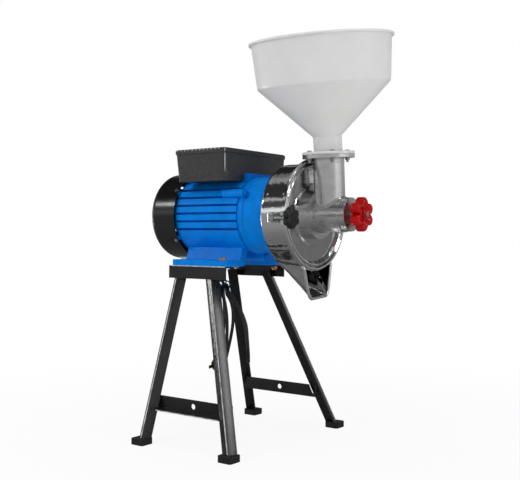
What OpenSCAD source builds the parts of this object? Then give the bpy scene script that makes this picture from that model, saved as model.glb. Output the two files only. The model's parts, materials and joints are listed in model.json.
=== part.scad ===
// Electric disc mill for grain on an angle-iron stand.
// X runs along the motor shaft towards the grinding head, Z is up, and the origin is on the floor
// under the middle of the machine.

/* [Overall] */
// Height of the motor shaft above the floor
axis_h = 441; // [400:1:500]
// Turn of the grinding head about the shaft, in degrees
head_turn = 4; // [0:1:6]
// Lean of the hopper over its flange, in degrees
hopper_lean = 4; // [0:1:6]

/* [Stand] */
// Width of a flange of the angle iron
angle_w = 25; // [23:1:27]
// Thickness of the angle iron
angle_t = 3; // [2:0.5:4]
// Width of a flange of a leg
leg_w = 20; // [18:1:24]
// Length of a top rail
rail_len = 144; // [138:1:160]
// Distance from the shaft's plane to the outer ridge of a leg at the floor
foot_spread = 186; // [170:1:210]
// Distance along the rail from its rear end to the rear leg
rear_leg_inset = 20; // [18:1:30]
// Distance along the rail from its front end to the front leg
front_leg_inset = 33; // [26:1:36]
// How far the front leg's foot reaches forward of its top
front_leg_reach = 113; // [80:1:130]
// How far the rear leg's foot reaches back from its top
rear_leg_reach = 13; // [0:1:40]
// Turn of a front leg about its length, in degrees
front_leg_turn = 18; // [0:1:25]
// Turn of a rear leg about its length, in degrees
rear_leg_turn = 6; // [0:1:25]
// Height of the underside of a cross strap above the floor
strap_h = 65; // [50:1:100]
// Radius of the hole in the middle of a cross strap
strap_hole_r = 5.5; // [3:0.5:7]

/* [Feet] */
// Length of a rubber foot along the machine
foot_len_x = 31; // [26:1:36]
// Length of a rubber foot across the machine
foot_len_y = 31; // [28:1:38]
// Height of a rubber foot
foot_h = 16; // [12:1:22]

/* [Motor] */
// Radius of the motor over its fins
motor_r = 80; // [76:1:82]
// Length of the finned housing
housing_len = 152; // [146:1:180]
// Depth of a cooling fin
fin_depth = 8; // [4:1:10]
// Thickness of a cooling fin
fin_t = 11; // [4:0.5:12]
// Pitch of the cooling fins
fin_pitch = 15.5; // [14:0.5:18]
// Radius of the stator's seat
stator_r = 62; // [56:1:64]
// Height of the shaft above the motor's feet
motor_foot_h = 100; // [98:1:106]
// Distance from the shaft's plane to the outer edge of a motor foot
motor_foot_y = 97; // [94:1:102]
// Thickness of a motor foot
motor_foot_t = 12; // [10:1:14]
// Length of a motor foot
motor_foot_len = 138; // [132:1:142]
// Distance across the machine between the foot bolts
foot_bolt_span_y = 170; // [166:1:174]
// Distance along the machine between the foot bolts
foot_bolt_span_x = 100; // [90:1:108]
// Radius of a foot bolt
foot_bolt_r = 4; // [3:0.5:4.5]

/* [Shaft] */
// Radius of the motor shaft in its bearings
shaft_r = 10; // [8:0.5:11]
// Radius of the shaft's end that drives the auger
drive_r = 9; // [7:0.5:9.5]
// Outer radius of a bearing
bearing_r = 23.5; // [20:0.5:26]
// Width of a bearing
bearing_w = 14; // [12:1:16]
// Radial running clearance of turning pieces
run_fit = 0.05; // [0.02:0.01:0.09]

/* [Fan cover] */
// Radius of the fan cover
fan_cover_r = 88; // [86:1:92]
// Length of the fan cover
fan_cover_len = 67; // [60:1:80]
// Thickness of the fan cover's sheet
fan_cover_t = 1.5; // [1:0.5:3]
// Radius of the fan cover's rear edge
fan_cover_round = 14; // [8:1:20]
// Number of ring slots in the fan cover's back
grille_rings = 5; // [3:1:6]
// Width of a ring slot
grille_slot = 5; // [3:0.5:6]
// Number of blades on the fan
fan_blades = 7; // [5:1:9]

/* [Front end shield] */
// Length of the front end shield
shield_len = 69; // [60:1:80]
// Radius of the front end shield at the motor
shield_rear_r = 76.4; // [75:0.2:78]
// Radius of the front end shield at the bowl
shield_front_r = 70.5; // [66:0.5:74]
// Wall of the end shields
shield_wall = 6; // [4:1:8]

/* [Switch box] */
// Length of the box along the machine
box_len = 130; // [126:1:136]
// Width of the box across the machine
box_w = 204; // [196:1:220]
// Height of the top of the lid above the shaft
box_top = 128; // [122:1:140]
// Height of the lower edge of the box above the shaft
box_bottom = 65; // [60:1:70]
// Height of the lid
lid_h = 9; // [7:1:12]
// Wall of the box
box_wall = 3; // [2:0.5:4]
// How far the box draws in towards its lower edge
box_draft = 4; // [1:0.5:6]
// Radius of the capacitors
capacitor_r = 14; // [10:1:15]

/* [Grinding bowl] */
// Outer radius of the bowl
bowl_r = 97; // [95:1:99]
// Depth of the bowl
bowl_depth = 57; // [54:1:62]
// Thickness of the bowl's sheet
bowl_t = 2; // [1.5:0.5:2.5]
// Half the width of the spout's mouth at its top
spout_top_w = 45; // [40:1:50]
// Half the width of the spout's mouth at its bottom
spout_bottom_w = 32; // [26:1:38]
// Depth of the spout's lower lip below the shaft
spout_drop = 158; // [150:1:170]

/* [Front cover] */
// Radius of the cover over its edge bead
cover_r = 106.3; // [105:0.1:108]
// Height of the cover's edge bead
bead_h = 6; // [5:0.5:7]
// Thickness of the cover's sheet
cover_t = 2; // [1.5:0.5:2.5]
// Radius of the cover's middle boss
boss_r = 58; // [56:1:62]

/* [Feed casting] */
// Outer radius of the barrel
barrel_r = 31.5; // [30:0.5:33]
// Radius of the barrel's bore
barrel_bore = 24; // [23.5:0.5:26]
// Length of the barrel in front of the cover
barrel_len = 67; // [64:1:80]
// Outer radius of the throat tube
throat_r = 29; // [27:0.5:30]
// Radius of the throat's bore
throat_bore = 23; // [20:0.5:23]
// Distance of the throat in front of the cover's bead
throat_offset = 30; // [29:1:32]
// Height of the throat's flange above the shaft
flange_z = 112; // [108:1:120]
// Radius of the throat's flange
flange_r = 48.8; // [46:0.2:52]
// Thickness of the throat's flange
flange_t = 7; // [5:1:9]
// Thickness of the clamp bar
bar_t = 9; // [7:1:11]

/* [Grinding parts] */
// Outer radius of the burrs
burr_r = 60; // [56:1:62]
// Thickness of a burr
burr_t = 9; // [8:0.5:10]
// Gap between the burrs at rest
burr_gap = 1.6; // [1.6:0.1:2.5]
// Depth of the teeth cut in a burr
tooth_depth = 2.5; // [1.5:0.5:3]
// Number of wide furrows in a burr
furrows = 12; // [8:1:14]
// Number of fine teeth round a burr's edge
edge_teeth = 36; // [24:1:40]
// Outer radius of the auger's flight
flight_r = 22; // [20:0.5:22.5]
// Pitch of the auger's flight
flight_pitch = 24; // [20:1:28]

/* [Handwheel] */
// Outer radius of the handwheel
wheel_r = 31.6; // [28:0.2:34]
// Depth of the handwheel
wheel_t = 26; // [22:1:30]
// Number of lobes of the handwheel
wheel_lobes = 6; // [5:1:7]
// Gap between the handwheel and the end cap
wheel_gap = 6; // [5:0.5:8]
// Thickness of the end cap
cap_t = 10; // [8:1:12]
// Radius of the adjusting screw
adjust_r = 6; // [5:0.5:7]

/* [Swing bolts] */
// Distance of the swing bolts from the shaft
bolt_y = 116; // [115:0.5:118]
// Radius of a swing bolt's rod
rod_r = 4; // [3.5:0.5:4.5]
// Distance from a swing bolt's pivot to the front of the clamp bar
pivot_back = 31; // [30:1:33]
// Radius of a star knob
knob_r = 20; // [18:1:22]
// Depth of a star knob
knob_t = 13; // [11:1:15]
// Number of points of a star knob
knob_points = 6; // [5:1:7]

/* [Hopper] */
// Radius of the hopper's neck
neck_r = 26.7; // [26:0.1:29]
// Height of the hopper's neck above its flange
neck_h = 34; // [28:1:40]
// Radius of the hopper at the top of its cone
cone_r = 123; // [110:1:130]
// Height of the top of the cone above the flange
cone_h = 127; // [115:1:140]
// Radius of the hopper at its rim
rim_r = 129; // [124:1:136]
// Height of the hopper above its flange
hopper_h = 211; // [190:1:230]
// Wall of the hopper
hopper_t = 3; // [2.5:0.5:4]
// Width of the hopper's rim lip
lip_w = 4.5; // [3:0.5:7]
// Thickness of the hopper's flange
hopper_flange_t = 5; // [4:0.5:7]

/* [Hidden] */
$fn = 72;

// Overrun of every cut past the faces it opens
cut = 1;
// Gap left between curved faces of pieces that move past each other
gap = 0.3;

// Places along the shaft, from the back of the machine to its front
throat_reach = fan_cover_len + housing_len + shield_len + bowl_depth + bead_h + throat_offset;
total_len = throat_reach + rim_r + lip_w;
rear_x = -total_len / 2;
housing_x = rear_x + fan_cover_len;
shield_x = housing_x + housing_len;
bowl_x = shield_x + shield_len;
rim_x = bowl_x + bowl_depth;
bar_x = rim_x + bead_h;
cap_x = bar_x + barrel_len;
cap_end_x = cap_x + cap_t;
wheel_x = cap_end_x + wheel_gap;
throat_x = bar_x + throat_offset;

// Stand
rail_lip = 1;
rail_y = motor_foot_y + rail_lip;
rail_top = axis_h - motor_foot_h;
foot_margin_x = (housing_len - motor_foot_len) / 2;
motor_foot_x = housing_x + foot_margin_x;
rail_front_gap = 3;
rail_x = motor_foot_x + motor_foot_len - rail_front_gap - rail_len;
rail_inner_y = rail_y - angle_t;
nut_room = 9;
leg_top = rail_top - angle_t - nut_room;
foot_pocket = 6;
foot_fit = 0.2;
leg_foot_z = foot_h - foot_pocket;
foot_out = 6;
tie_hole_r = 4;
tie_hole_down = 22;
foot_corner = 5;
bolt_mid_x = motor_foot_x + motor_foot_len / 2;
foot_bolt_xs = [bolt_mid_x - foot_bolt_span_x / 2, bolt_mid_x + foot_bolt_span_x / 2];
foot_bolt_y = foot_bolt_span_y / 2;
foot_hole_r = foot_bolt_r + 2 * gap;

// Fasteners, as shares of the radius of the thread
head_r_share = 1.8;
head_h_share = 1.3;

// Motor
housing_r = motor_r - fin_depth;
fin_low_z = -35.5;
fin_rows = 7;
flank_low_z = -66;
pad_w = 80;
pad_top = motor_r + fan_cover_t;
web_top_y = 47;
web_top_z = 60;
web_low_y = 57;
web_t = 14;
lug_angles = [60, -60, 180];
lug_pitch_r = 82;
lug_r = 8;
lug_len = 15;
shield_rim_len = 11;
housing_boss_len = 36;
shield_bolt_r = 3;
rear_shield_len = 16;
rear_web_x = 6;
hub_r = bearing_r + shield_wall;
core_inner_r = 42;
core_inset = 32;
core_x = housing_x + core_inset;
core_len = 90;
winding_len = 20;
winding_in = 2;
rotor_gap = 0.5;
bearing_inset = 8;
front_bearing_x = bowl_x - bearing_inset - bearing_w;
rear_bearing_x = housing_x - rear_shield_len;
shaft_inset = 18;
shaft_rear_x = rear_x + shaft_inset;
fan_inset = 22;
fan_x = rear_x + fan_inset;
fan_len = 22;
fan_r = 70;
fan_hub_r = 20;
fan_blade_t = 2.5;
seal_t = 5;
seal_r = 16;

// Fan cover
cover_screw_angles = [56, 124, -124, -56];
cover_screw_inset = 5;
cover_screw_r = 2;
cover_pad_r = 5;
grille_first_r = 16;
grille_pitch = 11;
grille_spoke = 7;
grille_spokes = 6;

// Switch box
box_inset = 13;
box_x = housing_x + box_inset;
box_z0 = axis_h + box_bottom;
box_lid_z = axis_h + box_top - lid_h;
lid_overhang = 1.5;
base_len = box_len - 2 * lid_overhang;
base_w = box_w - 2 * lid_overhang;
box_mid_x = box_x + box_len / 2;
box_corner = 8;
floor_z = axis_h + pad_top + box_wall;
lid_bevel = 2;
post_r = 5;
post_inset = 9;
lid_screw_r = 2;
switch_side = 12;
switch_x = box_mid_x + switch_side;
switch_rise = 101;
switch_z = axis_h + switch_rise;
switch_w = 16;
switch_h = 24;
bezel_rim = 4;
bezel_t = 2.5;
bezel_depth = 10;
bezel_wall = 1.5;
rocker_tilt = 8;
rocker_fit = 0.8;
rocker_depth = 6;
rocker_out = 2;
rocker_half = switch_h / 2 - 2 * rocker_fit;
side_pad_len = 96;
side_pad_rise = 84;
side_pad_z0 = axis_h + side_pad_rise;
side_pad_y = base_w / 2;
gland_side = 34;
gland_x = box_mid_x - gland_side;
gland_r = 7;
gland_nut_r = 9.5;
gland_nut_t = 6;
gland_len = 30;
gland_in = 2 * box_wall + box_draft;
cord_r = 3.25;

// Bowl and spout
bowl_rim_r = 103.5;
bowl_hole_r = 17;
bowl_bolt_r = 3;
bowl_bolt_ring = 50;
spout_mouth_t = 2;
spout_root_y = 56;
spout_root_z = 78;
spout_root_t = 4;
spout_corner = 8;
spout_top_z = cover_r + gap;

// Cover
cover_dish_r = 88;
second_bead_r = 94;
valley_r = 97.5;
bead_r = 4;
dish_in = 3;
boss_out = 1;
second_bead_out = 5;
valley_out = 3;

// Feed casting
collar_r = 46;
collar_x = rim_x + boss_out;
collar_t = 14;
ear_lip = 4;
ear_h = 12;
bar_mid_h = 23;
bar_mid_y = 44;
band_r = 33;
band_len = 10;
band_back = 4;
ring_r = 34;
ring_t = 4;
slot_clear = 0.5;
slot_r = rod_r + slot_clear;
hopper_bolt_ring = 36;
hopper_bolt_r = 2.5;
cap_screw_ring = 27.8;
cap_screw_r = 1.6;

// Grinding parts
burr_seat = boss_out + dish_in;
burr_seat_r = boss_r - cover_t - gap;
fixed_burr_x = rim_x - dish_in - cover_t - burr_t;
moving_face_x = fixed_burr_x - burr_gap;
moving_burr_x = moving_face_x - burr_t;
burr_bore = barrel_bore;
burr_screw_ring = 38;
burr_screw_r = 3;
burr_sink = burr_screw_r * head_h_share + tooth_depth;
hub_flange_t = 6;
hub_flange_r = 46;
auger_hub_r = 21;
auger_core_r = 8;
auger_stand = 12;
auger_hub_x = bowl_x + auger_stand;
socket_wall = 6;
socket_end_x = moving_face_x - socket_wall;
drive_short = 4;
drive_end_x = socket_end_x - drive_short;
slide_back = 3;
shoulder_x = auger_hub_x - slide_back - gap;
nose_short = 14;
auger_nose_x = cap_x - nose_short;
nose_r = 6;
ball_r = 5;
flight_angle = 48;
flight_steps = 44;
flight_fn = 12;
furrow_w = 6;
edge_tooth_w = 2.2;
edge_tooth_len = 12;
furrow_skew = 10;

// Handwheel and adjusting screw
ball_gap = 0.2;
screw_tip_x = auger_nose_x + 2 * ball_r + 2 * ball_gap;
wheel_hub_r = 15;
wheel_lobe_r = 8.2;
wheel_round = 6;
wheel_back = 5;
wheel_screw_r = 3;
spoke_share = 0.8;
screw_fit_share = 0.9;
wheel_recess = 3;

// Swing bolts
pivot_x = bar_x + bar_t - pivot_back;
eye_r = 8;
eye_t = 9;
pin_r = 3;
lug_gap = 0.3;
lug_t = 3;
bracket_back = 17;
bracket_h = 20;
bracket_t = 4;
pin_over = 2;
washer_t = 1.6;
washer_r = 9;
washer_x = bar_x + bar_t + gap;
knob_boss_r = 9;
knob_boss_t = 3;
knob_x = washer_x + washer_t;
knob_lobe_r = 5.5;
knob_cap = 3;
rod_short = 1;
rod_end_x = knob_x + knob_boss_t + knob_t - knob_cap - rod_short;

// Hopper
hopper_bolt_head = 4;

// Mains lead: its route's points, and the size and place of its hank, are chosen by hand
hank_turn = 36.5;
hank_bend = 21;
hank_run = 135;
hank_loops = 3;
hank_pitch = 7;
hank_steps = 24;
tail_steps = 8;
tail_out = 20;
hank_bulge = 16;
bulge_share = 1.5;
skew_share = 0.7;
route_steps = 2;
join_skip = 7;
join_gap = 1;
hank_middle = [-87, -62, 216];
power_route = [
  [-146, 131, 542], [-146, 140, 542], [-147, 153, 538], [-150, 166, 525], [-158, 172, 495],
  [-170, 168, 455], [-182, 153, 410], [-188, 130, 366], [-188, 112, 349], [-188, 98, 345],
  [-188, 83, 346], [-188, 71, 345], [-186, 59, 338], [-173, 38, 324], [-152, 10, 314], [-131, -8, 310],
  [-114, -18, 301], [-102, -19, 286], [-91, -16, 269], [-78, -15, 255], [-66, -18, 240],
  [-57, -20, 221], [-54, -20, 197], [-52, -20, 175], [-46, -27, 160], [-37, -38, 156],
  [-29, -49, 161], [-25, -55, 177], [-27, -56, 200], [-31, -57, 224], [-38, -59, 247],
  [-46, -61, 264], [-54, -65, 279], [-62, -70, 292], [-69, -65, 301]
];
tie_r = 1.3;
tie_route = [
  [-64, -97, 302], [-65, -95, 305], [-67, -93, 307], [-71, -91, 308], [-75, -89, 309], [-77, -80, 312],
  [-76, -65, 313], [-74, -54, 310], [-74, -52, 302], [-77, -53, 296], [-84, -58, 294], [-93, -65, 295],
  [-99, -71, 301], [-100, -71, 308], [-95, -69, 313], [-84, -66, 316], [-70, -71, 316], [-60, -81, 311],
  [-61, -90, 306], [-63, -96, 304]
];
plug_r = 14;
plug_t = 14;
plug_step = 2;
plug_tilt = 9;
plug_gap = 0.7;
plug_turn = 152;
relief_len = 26;
relief_r = 6;
relief_step = 0.6;
pin_pitch = 12.7;
pin_w = 6.3;
pin_t = 1.5;
pin_len = 17;

// Points of an arc about a centre
function arc(c, r, a0, a1, n) = [for (i = [0:n]) let (a = a0 + (a1 - a0) * i / n)
  [c[0] + r * cos(a), c[1] + r * sin(a)]];

// Places its children with their Z along the shaft, starting at x
module on_axis(x) translate([x, 0, axis_h]) rotate([0, 90, 0]) children();

// Turns a profile of [radius, distance along the shaft] about the shaft
module turned(x) on_axis(x) rotate_extrude() children();

// Extrudes a section drawn as [across, up] from the shaft along the shaft
module section(x, len) translate([x, 0, axis_h]) rotate([90, 0, 90]) linear_extrude(len) children();

// A disc on the shaft
module disc(x, r, len) on_axis(x) cylinder(r = r, h = len);

// A ring on the shaft
module ring(x, r, bore, len) difference() {
  disc(x, r, len);
  disc(x - cut, bore, len + 2 * cut);
}

// Turns its children about the shaft, from above towards the near side
module around(a) translate([0, 0, axis_h]) rotate([a, 0, 0]) translate([0, 0, -axis_h]) children();

// Everything that sits on the grinding head
module head() around(head_turn) children();

// The same piece on the far side
module far_side() mirror([0, 1, 0]) children();

// A flat block with round upright corners, centred in X and Y
module rounded_block(len, w, h, r) {
  translate([-len / 2 + r, -w / 2, 0]) cube([len - 2 * r, w, h]);
  translate([-len / 2, -w / 2 + r, 0]) cube([len, w - 2 * r, h]);
  for (x = [-1, 1], y = [-1, 1])
    translate([x * (len / 2 - r), y * (w / 2 - r), 0]) cylinder(r = r, h = h);
}

// A screw along Z: its head stands on z = 0 and its shank hangs below
module hex_screw(r, shank) {
  cylinder(r = r * head_r_share, h = r * head_h_share, $fn = 6);
  translate([0, 0, -shank]) cylinder(r = r, h = shank);
}

// A round-headed screw along Z
module pan_screw(r, shank) {
  cylinder(r = r * head_r_share, h = r * head_h_share);
  translate([0, 0, -shank]) cylinder(r = r, h = shank);
}

// Stand

// Section of the angle iron, its ridge at the origin
module angle_section(w, t) polygon([[0, 0], [w, 0], [w, t], [t, t], [t, w], [0, w]]);

// Near top rail: one flange upright at the outside, one flat under the motor's foot
module near_rail() difference() {
  translate([rail_x, -rail_y, rail_top]) rotate([90, 0, 90]) linear_extrude(rail_len)
    mirror([0, 1]) angle_section(angle_w, angle_t);
  for (x = foot_bolt_xs) translate([x, -foot_bolt_y, rail_top - angle_t - cut])
    cylinder(r = foot_hole_r, h = angle_t + 2 * cut);
}

rear_leg_x = rail_x + rear_leg_inset;
front_leg_x = rail_x + rail_len - front_leg_inset;

// Leans its children from the foot at x_foot to the rail at x_top
module along_leg(x_top, x_foot) {
  run = [x_top - x_foot, foot_spread - rail_inner_y, leg_top];
  translate([x_foot, -foot_spread, 0])
    rotate([-asin(run[1] / norm(run)), atan2(run[0], run[2]), 0]) children();
}

// The whole length of a leg before its ends are cut level
module leg_bar(x_top, x_foot, turn, w, t) along_leg(x_top, x_foot)
  translate([0, 0, -angle_w]) linear_extrude(axis_h) rotate(45 + turn) angle_section(w, t);

// The space of a leg with its open side filled, for cutting a strap's ends
module leg_space(x_top, x_foot, turn) along_leg(x_top, x_foot)
  translate([0, 0, -angle_w]) linear_extrude(axis_h) rotate(45 + turn) square(leg_w);

// A leg with its foot end level in the rubber foot and its top end notched for the rail
module leg(x_top, x_foot, turn) difference() {
  intersection() {
    leg_bar(x_top, x_foot, turn, leg_w, angle_t);
    translate([-total_len / 2, -foot_spread - angle_w, leg_foot_z])
      cube([total_len, foot_spread, leg_top - leg_foot_z]);
  }
  translate([rail_x - cut, -rail_y - angle_w, rail_top - angle_w])
    cube([rail_len + 2 * cut, angle_w + angle_t, angle_w + cut]);
}

rear_foot_x = rear_leg_x - rear_leg_reach;
front_foot_x = front_leg_x + front_leg_reach;

module rear_leg() leg(rear_leg_x, rear_foot_x, rear_leg_turn);
module front_leg() leg(front_leg_x, front_foot_x, front_leg_turn);

// Hole for the cord's tie near the top of the near front leg
module tie_hole() along_leg(front_leg_x, front_foot_x)
  translate([0, 0, norm([front_leg_reach, foot_spread - rail_inner_y, leg_top]) - tie_hole_down])
    rotate(45 + front_leg_turn) translate([leg_w / 2, -cut, 0]) rotate([-90, 0, 0])
      cylinder(r = tie_hole_r, h = angle_t + 2 * cut);

// Share of the leg's height at which the strap sits, and the ridge's place there
strap_share = (strap_h + angle_w / 2) / leg_top;
strap_y = foot_spread - (foot_spread - rail_inner_y) * strap_share;
strap_rear_x = rear_leg_x - rear_leg_reach * (1 - strap_share);
strap_front_x = front_leg_x + front_leg_reach * (1 - strap_share);

// Cross strap between the legs, one flange upright, one flat and pointing out
module strap() difference() {
  translate([strap_rear_x, angle_w - strap_y, strap_h]) rotate([90, 0, 90])
    linear_extrude(strap_front_x - strap_rear_x) mirror([1, 0]) angle_section(angle_w, angle_t);
  leg_space(rear_leg_x, rear_foot_x, rear_leg_turn);
  leg_space(front_leg_x, front_foot_x, front_leg_turn);
  translate([(strap_rear_x + strap_front_x) / 2, angle_w - strap_y + cut, strap_h + angle_w / 2])
    rotate([90, 0, 0]) cylinder(r = strap_hole_r, h = angle_t + 2 * cut);
}

module near_top_rail() color("#1b1c1e") near_rail();
module near_rear_leg() color("#1b1c1e") rear_leg();
module near_front_leg() color("#1b1c1e") difference() {
  front_leg();
  tie_hole();
}
module near_cross_strap() color("#1b1c1e") strap();
module far_top_rail() color("#1b1c1e") far_side() near_rail();
module far_rear_leg() color("#1b1c1e") far_side() rear_leg();
module far_front_leg() color("#1b1c1e") far_side() front_leg();
module far_cross_strap() color("#1b1c1e") far_side() strap();

// One rubber foot with a pocket for the leg's end
module foot(x_top, x_foot, turn) difference() {
  translate([x_foot, -foot_spread - foot_out, 0]) rotate(45 + turn) translate([leg_w / 2, leg_w / 2])
    rotate(-45 - turn) rounded_block(foot_len_x, foot_len_y, foot_h, foot_corner);
  intersection() {
    along_leg(x_top, x_foot) translate([0, 0, -angle_w]) linear_extrude(axis_h)
      rotate(45 + turn) translate([-foot_fit, -foot_fit])
        angle_section(leg_w + 2 * foot_fit, angle_t + 2 * foot_fit);
    translate([x_foot - foot_len_x, -foot_spread - angle_w, leg_foot_z])
      cube([2 * foot_len_x, 3 * angle_w, foot_h]);
  }
}

module rubber_feet() color("#141414") for (m = [0, 1]) mirror([0, m, 0]) {
  foot(rear_leg_x, rear_foot_x, rear_leg_turn);
  foot(front_leg_x, front_foot_x, front_leg_turn);
}

// Foot bolts through the motor's feet and the rails, with nuts below
module foot_bolts() color("#b87a4a") for (x = foot_bolt_xs, y = [-foot_bolt_y, foot_bolt_y])
  translate([x, y, rail_top]) {
    translate([0, 0, motor_foot_t])
      hex_screw(foot_bolt_r, motor_foot_t + angle_t + nut_room - cut);
    translate([0, 0, -angle_t - foot_bolt_r * head_h_share]) difference() {
      cylinder(r = foot_bolt_r * head_r_share, h = foot_bolt_r * head_h_share, $fn = 6);
      translate([0, 0, -cut]) cylinder(r = foot_bolt_r - cut, h = foot_bolt_r * head_h_share + 2 * cut);
    }
  }

// Motor

// Section of the finned body, drawn as [across, up]
module body_section() difference() {
  union() {
    circle(r = housing_r);
    intersection() {
      circle(r = motor_r);
      for (i = [0:fin_rows - 1]) translate([-motor_r, fin_low_z + i * fin_pitch - fin_t / 2])
        square([2 * motor_r, fin_t]);
    }
    intersection() {
      circle(r = motor_r);
      translate([-motor_r, flank_low_z]) square([2 * motor_r, fin_low_z - flank_low_z]);
    }
    translate([-pad_w / 2, 0]) square([pad_w, pad_top]);
  }
  circle(r = stator_r);
}

// Section of one pedestal web with its foot, on the positive side
module pedestal_section() polygon([
  [web_top_y - web_t, -web_top_z], [web_top_y, -web_top_z], [web_low_y, -motor_foot_h + motor_foot_t],
  [motor_foot_y, -motor_foot_h + motor_foot_t], [motor_foot_y, -motor_foot_h],
  [web_low_y - web_t, -motor_foot_h], [web_top_y - web_t, -web_top_z - web_t]
]);

// A boss along the shaft for a shield bolt, standing out of the body at the top
module lug(x, len) {
  translate([0, 0, lug_pitch_r]) on_axis(x) cylinder(r = lug_r, h = len);
  translate([x, gap - lug_r, axis_h + housing_r - fin_depth])
    cube([len, 2 * (lug_r - gap), lug_pitch_r - housing_r + fin_depth]);
}

module motor_housing() color("#0a6fd6") difference() {
  union() {
    section(housing_x, housing_len) body_section();
    section(motor_foot_x, motor_foot_len) {
      pedestal_section();
      mirror([1, 0]) pedestal_section();
    }
    for (a = lug_angles) around(a) lug(shield_x - housing_boss_len, housing_boss_len);
  }
  for (x = foot_bolt_xs, y = [-foot_bolt_y, foot_bolt_y])
    translate([x, y, rail_top - cut]) cylinder(r = foot_hole_r, h = motor_foot_t + 2 * cut);
  for (a = lug_angles) around(a) translate([0, 0, lug_pitch_r])
    disc(shield_x - lug_len, shield_bolt_r, lug_len + cut);
}

// Rear end shield: a web with a bearing hub and pads for the fan cover's screws
module rear_end_shield() color("#0a5fc0") difference() {
  union() {
    turned(housing_x - rear_shield_len) polygon([
      [bearing_r, 0], [hub_r, 0], [hub_r, rear_web_x], [motor_r - shield_wall, rear_web_x],
      [motor_r - shield_wall, rear_shield_len], [stator_r, rear_shield_len],
      [stator_r, rear_web_x + shield_wall], [hub_r, rear_web_x + shield_wall], [hub_r, rear_shield_len],
      [shaft_r + cut, rear_shield_len], [shaft_r + cut, bearing_w], [bearing_r, bearing_w]
    ]);
    intersection() {
      disc(housing_x - rear_shield_len, fan_cover_r - fan_cover_t, rear_shield_len);
      for (a = cover_screw_angles) around(a)
        translate([housing_x - cover_screw_inset, 0, axis_h + stator_r + shield_wall])
          cylinder(r = cover_pad_r - gap, h = motor_r);
    }
  }
  for (a = cover_screw_angles) around(a)
    translate([housing_x - cover_screw_inset, 0, axis_h + motor_r - shield_wall])
      cylinder(r = cover_screw_r, h = motor_r);
}

// Front end shield: a cast bell with a bearing hub and three bolt lugs
module front_end_shield() color("#0a6fd6") difference() {
  union() {
    turned(shield_x) polygon([
      [stator_r, 0], [shield_rear_r, 0], [shield_rear_r, shield_rim_len],
      [shield_rear_r - shield_wall / 3, shield_rim_len + shield_wall / 3],
      [shield_front_r, shield_len], [shaft_r + cut, shield_len],
      [shaft_r + cut, front_bearing_x + bearing_w - shield_x],
      [bearing_r, front_bearing_x + bearing_w - shield_x],
      [bearing_r, front_bearing_x - shield_x], [hub_r, front_bearing_x - shield_x],
      [hub_r, shield_len - 2 * shield_wall], [stator_r, shield_len - 2 * shield_wall]
    ]);
    for (a = lug_angles) around(a) lug(shield_x, lug_len);
  }
  for (a = lug_angles) around(a) translate([0, 0, lug_pitch_r])
    disc(shield_x - cut, shield_bolt_r, lug_len + 2 * cut);
  disc(bowl_x - seal_t, seal_r, seal_t + cut);
  head() for (a = [45:90:315]) around(a) translate([0, 0, bowl_bolt_ring])
    disc(bowl_x - 2 * shield_wall - cut, bowl_bolt_r, 2 * shield_wall + 2 * cut);
}

module shield_bolts() color("#2a62b0") for (a = lug_angles) around(a) translate([0, 0, lug_pitch_r])
  on_axis(shield_x + lug_len) hex_screw(shield_bolt_r, 2 * lug_len);

module stator_core() color("#6d7075") ring(core_x, stator_r, core_inner_r, core_len);

module stator_windings() color("#a8562a") for (x = [core_x - winding_len, core_x + core_len])
  ring(x, stator_r - winding_in, core_inner_r + winding_in, winding_len);

module bearings() color("#c9ccd0") for (x = [rear_bearing_x, front_bearing_x])
  ring(x, bearing_r, shaft_r + run_fit, bearing_w);

module shaft_seal() color("#1c1c1c") ring(bowl_x - seal_t, seal_r, shaft_r + run_fit, seal_t);

module motor_shaft() color("#b9bcc0") {
  disc(shaft_rear_x, shaft_r, shoulder_x - shaft_rear_x);
  disc(shoulder_x, drive_r, drive_end_x - shoulder_x);
}

module rotor_core() color("#8b8e93") ring(core_x, core_inner_r - rotor_gap, shaft_r, core_len);

// Radial fan on the rear end of the shaft
module cooling_fan() color("#20242a") difference() {
  union() {
    disc(fan_x, fan_hub_r, fan_len);
    disc(fan_x + fan_len - fan_blade_t, fan_r - fan_hub_r / 2, fan_blade_t);
    for (i = [0:fan_blades - 1]) around(i * 360 / fan_blades)
      translate([fan_x, -fan_blade_t / 2, axis_h + fan_hub_r - cut])
        cube([fan_len, fan_blade_t, fan_r - fan_hub_r]);
  }
  disc(fan_x - cut, shaft_r, fan_len + 2 * cut);
}

// Ring slots in the back of the fan cover, broken by spokes
module grille_slots() difference() {
  for (i = [0:grille_rings - 1]) difference() {
    circle(r = grille_first_r + i * grille_pitch + grille_slot);
    circle(r = grille_first_r + i * grille_pitch);
  }
  for (i = [0:grille_spokes - 1]) rotate(i * 360 / grille_spokes)
    translate([0, -grille_spoke / 2]) square([fan_cover_r, grille_spoke]);
}

module fan_cover() color("#15171a") difference() {
  turned(rear_x) polygon(concat(
    [[0, 0]],
    arc([fan_cover_r - fan_cover_round, fan_cover_round], fan_cover_round, -90, 0, 8),
    [[fan_cover_r, fan_cover_len], [fan_cover_r - fan_cover_t, fan_cover_len]],
    arc([fan_cover_r - fan_cover_round, fan_cover_round], fan_cover_round - fan_cover_t, 0, -90, 8),
    [[0, fan_cover_t]]
  ));
  on_axis(rear_x - cut) linear_extrude(fan_cover_t + 2 * cut) grille_slots();
  for (a = cover_screw_angles) around(a)
    translate([housing_x - cover_screw_inset, 0, axis_h + motor_r])
      cylinder(r = cover_screw_r, h = fan_cover_r);
}

module cover_screws() color("#cfd2d6") for (a = cover_screw_angles) around(a)
  translate([housing_x - cover_screw_inset, 0, axis_h + fan_cover_r])
    pan_screw(cover_screw_r, fan_cover_r - motor_r);

// Switch box

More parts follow.
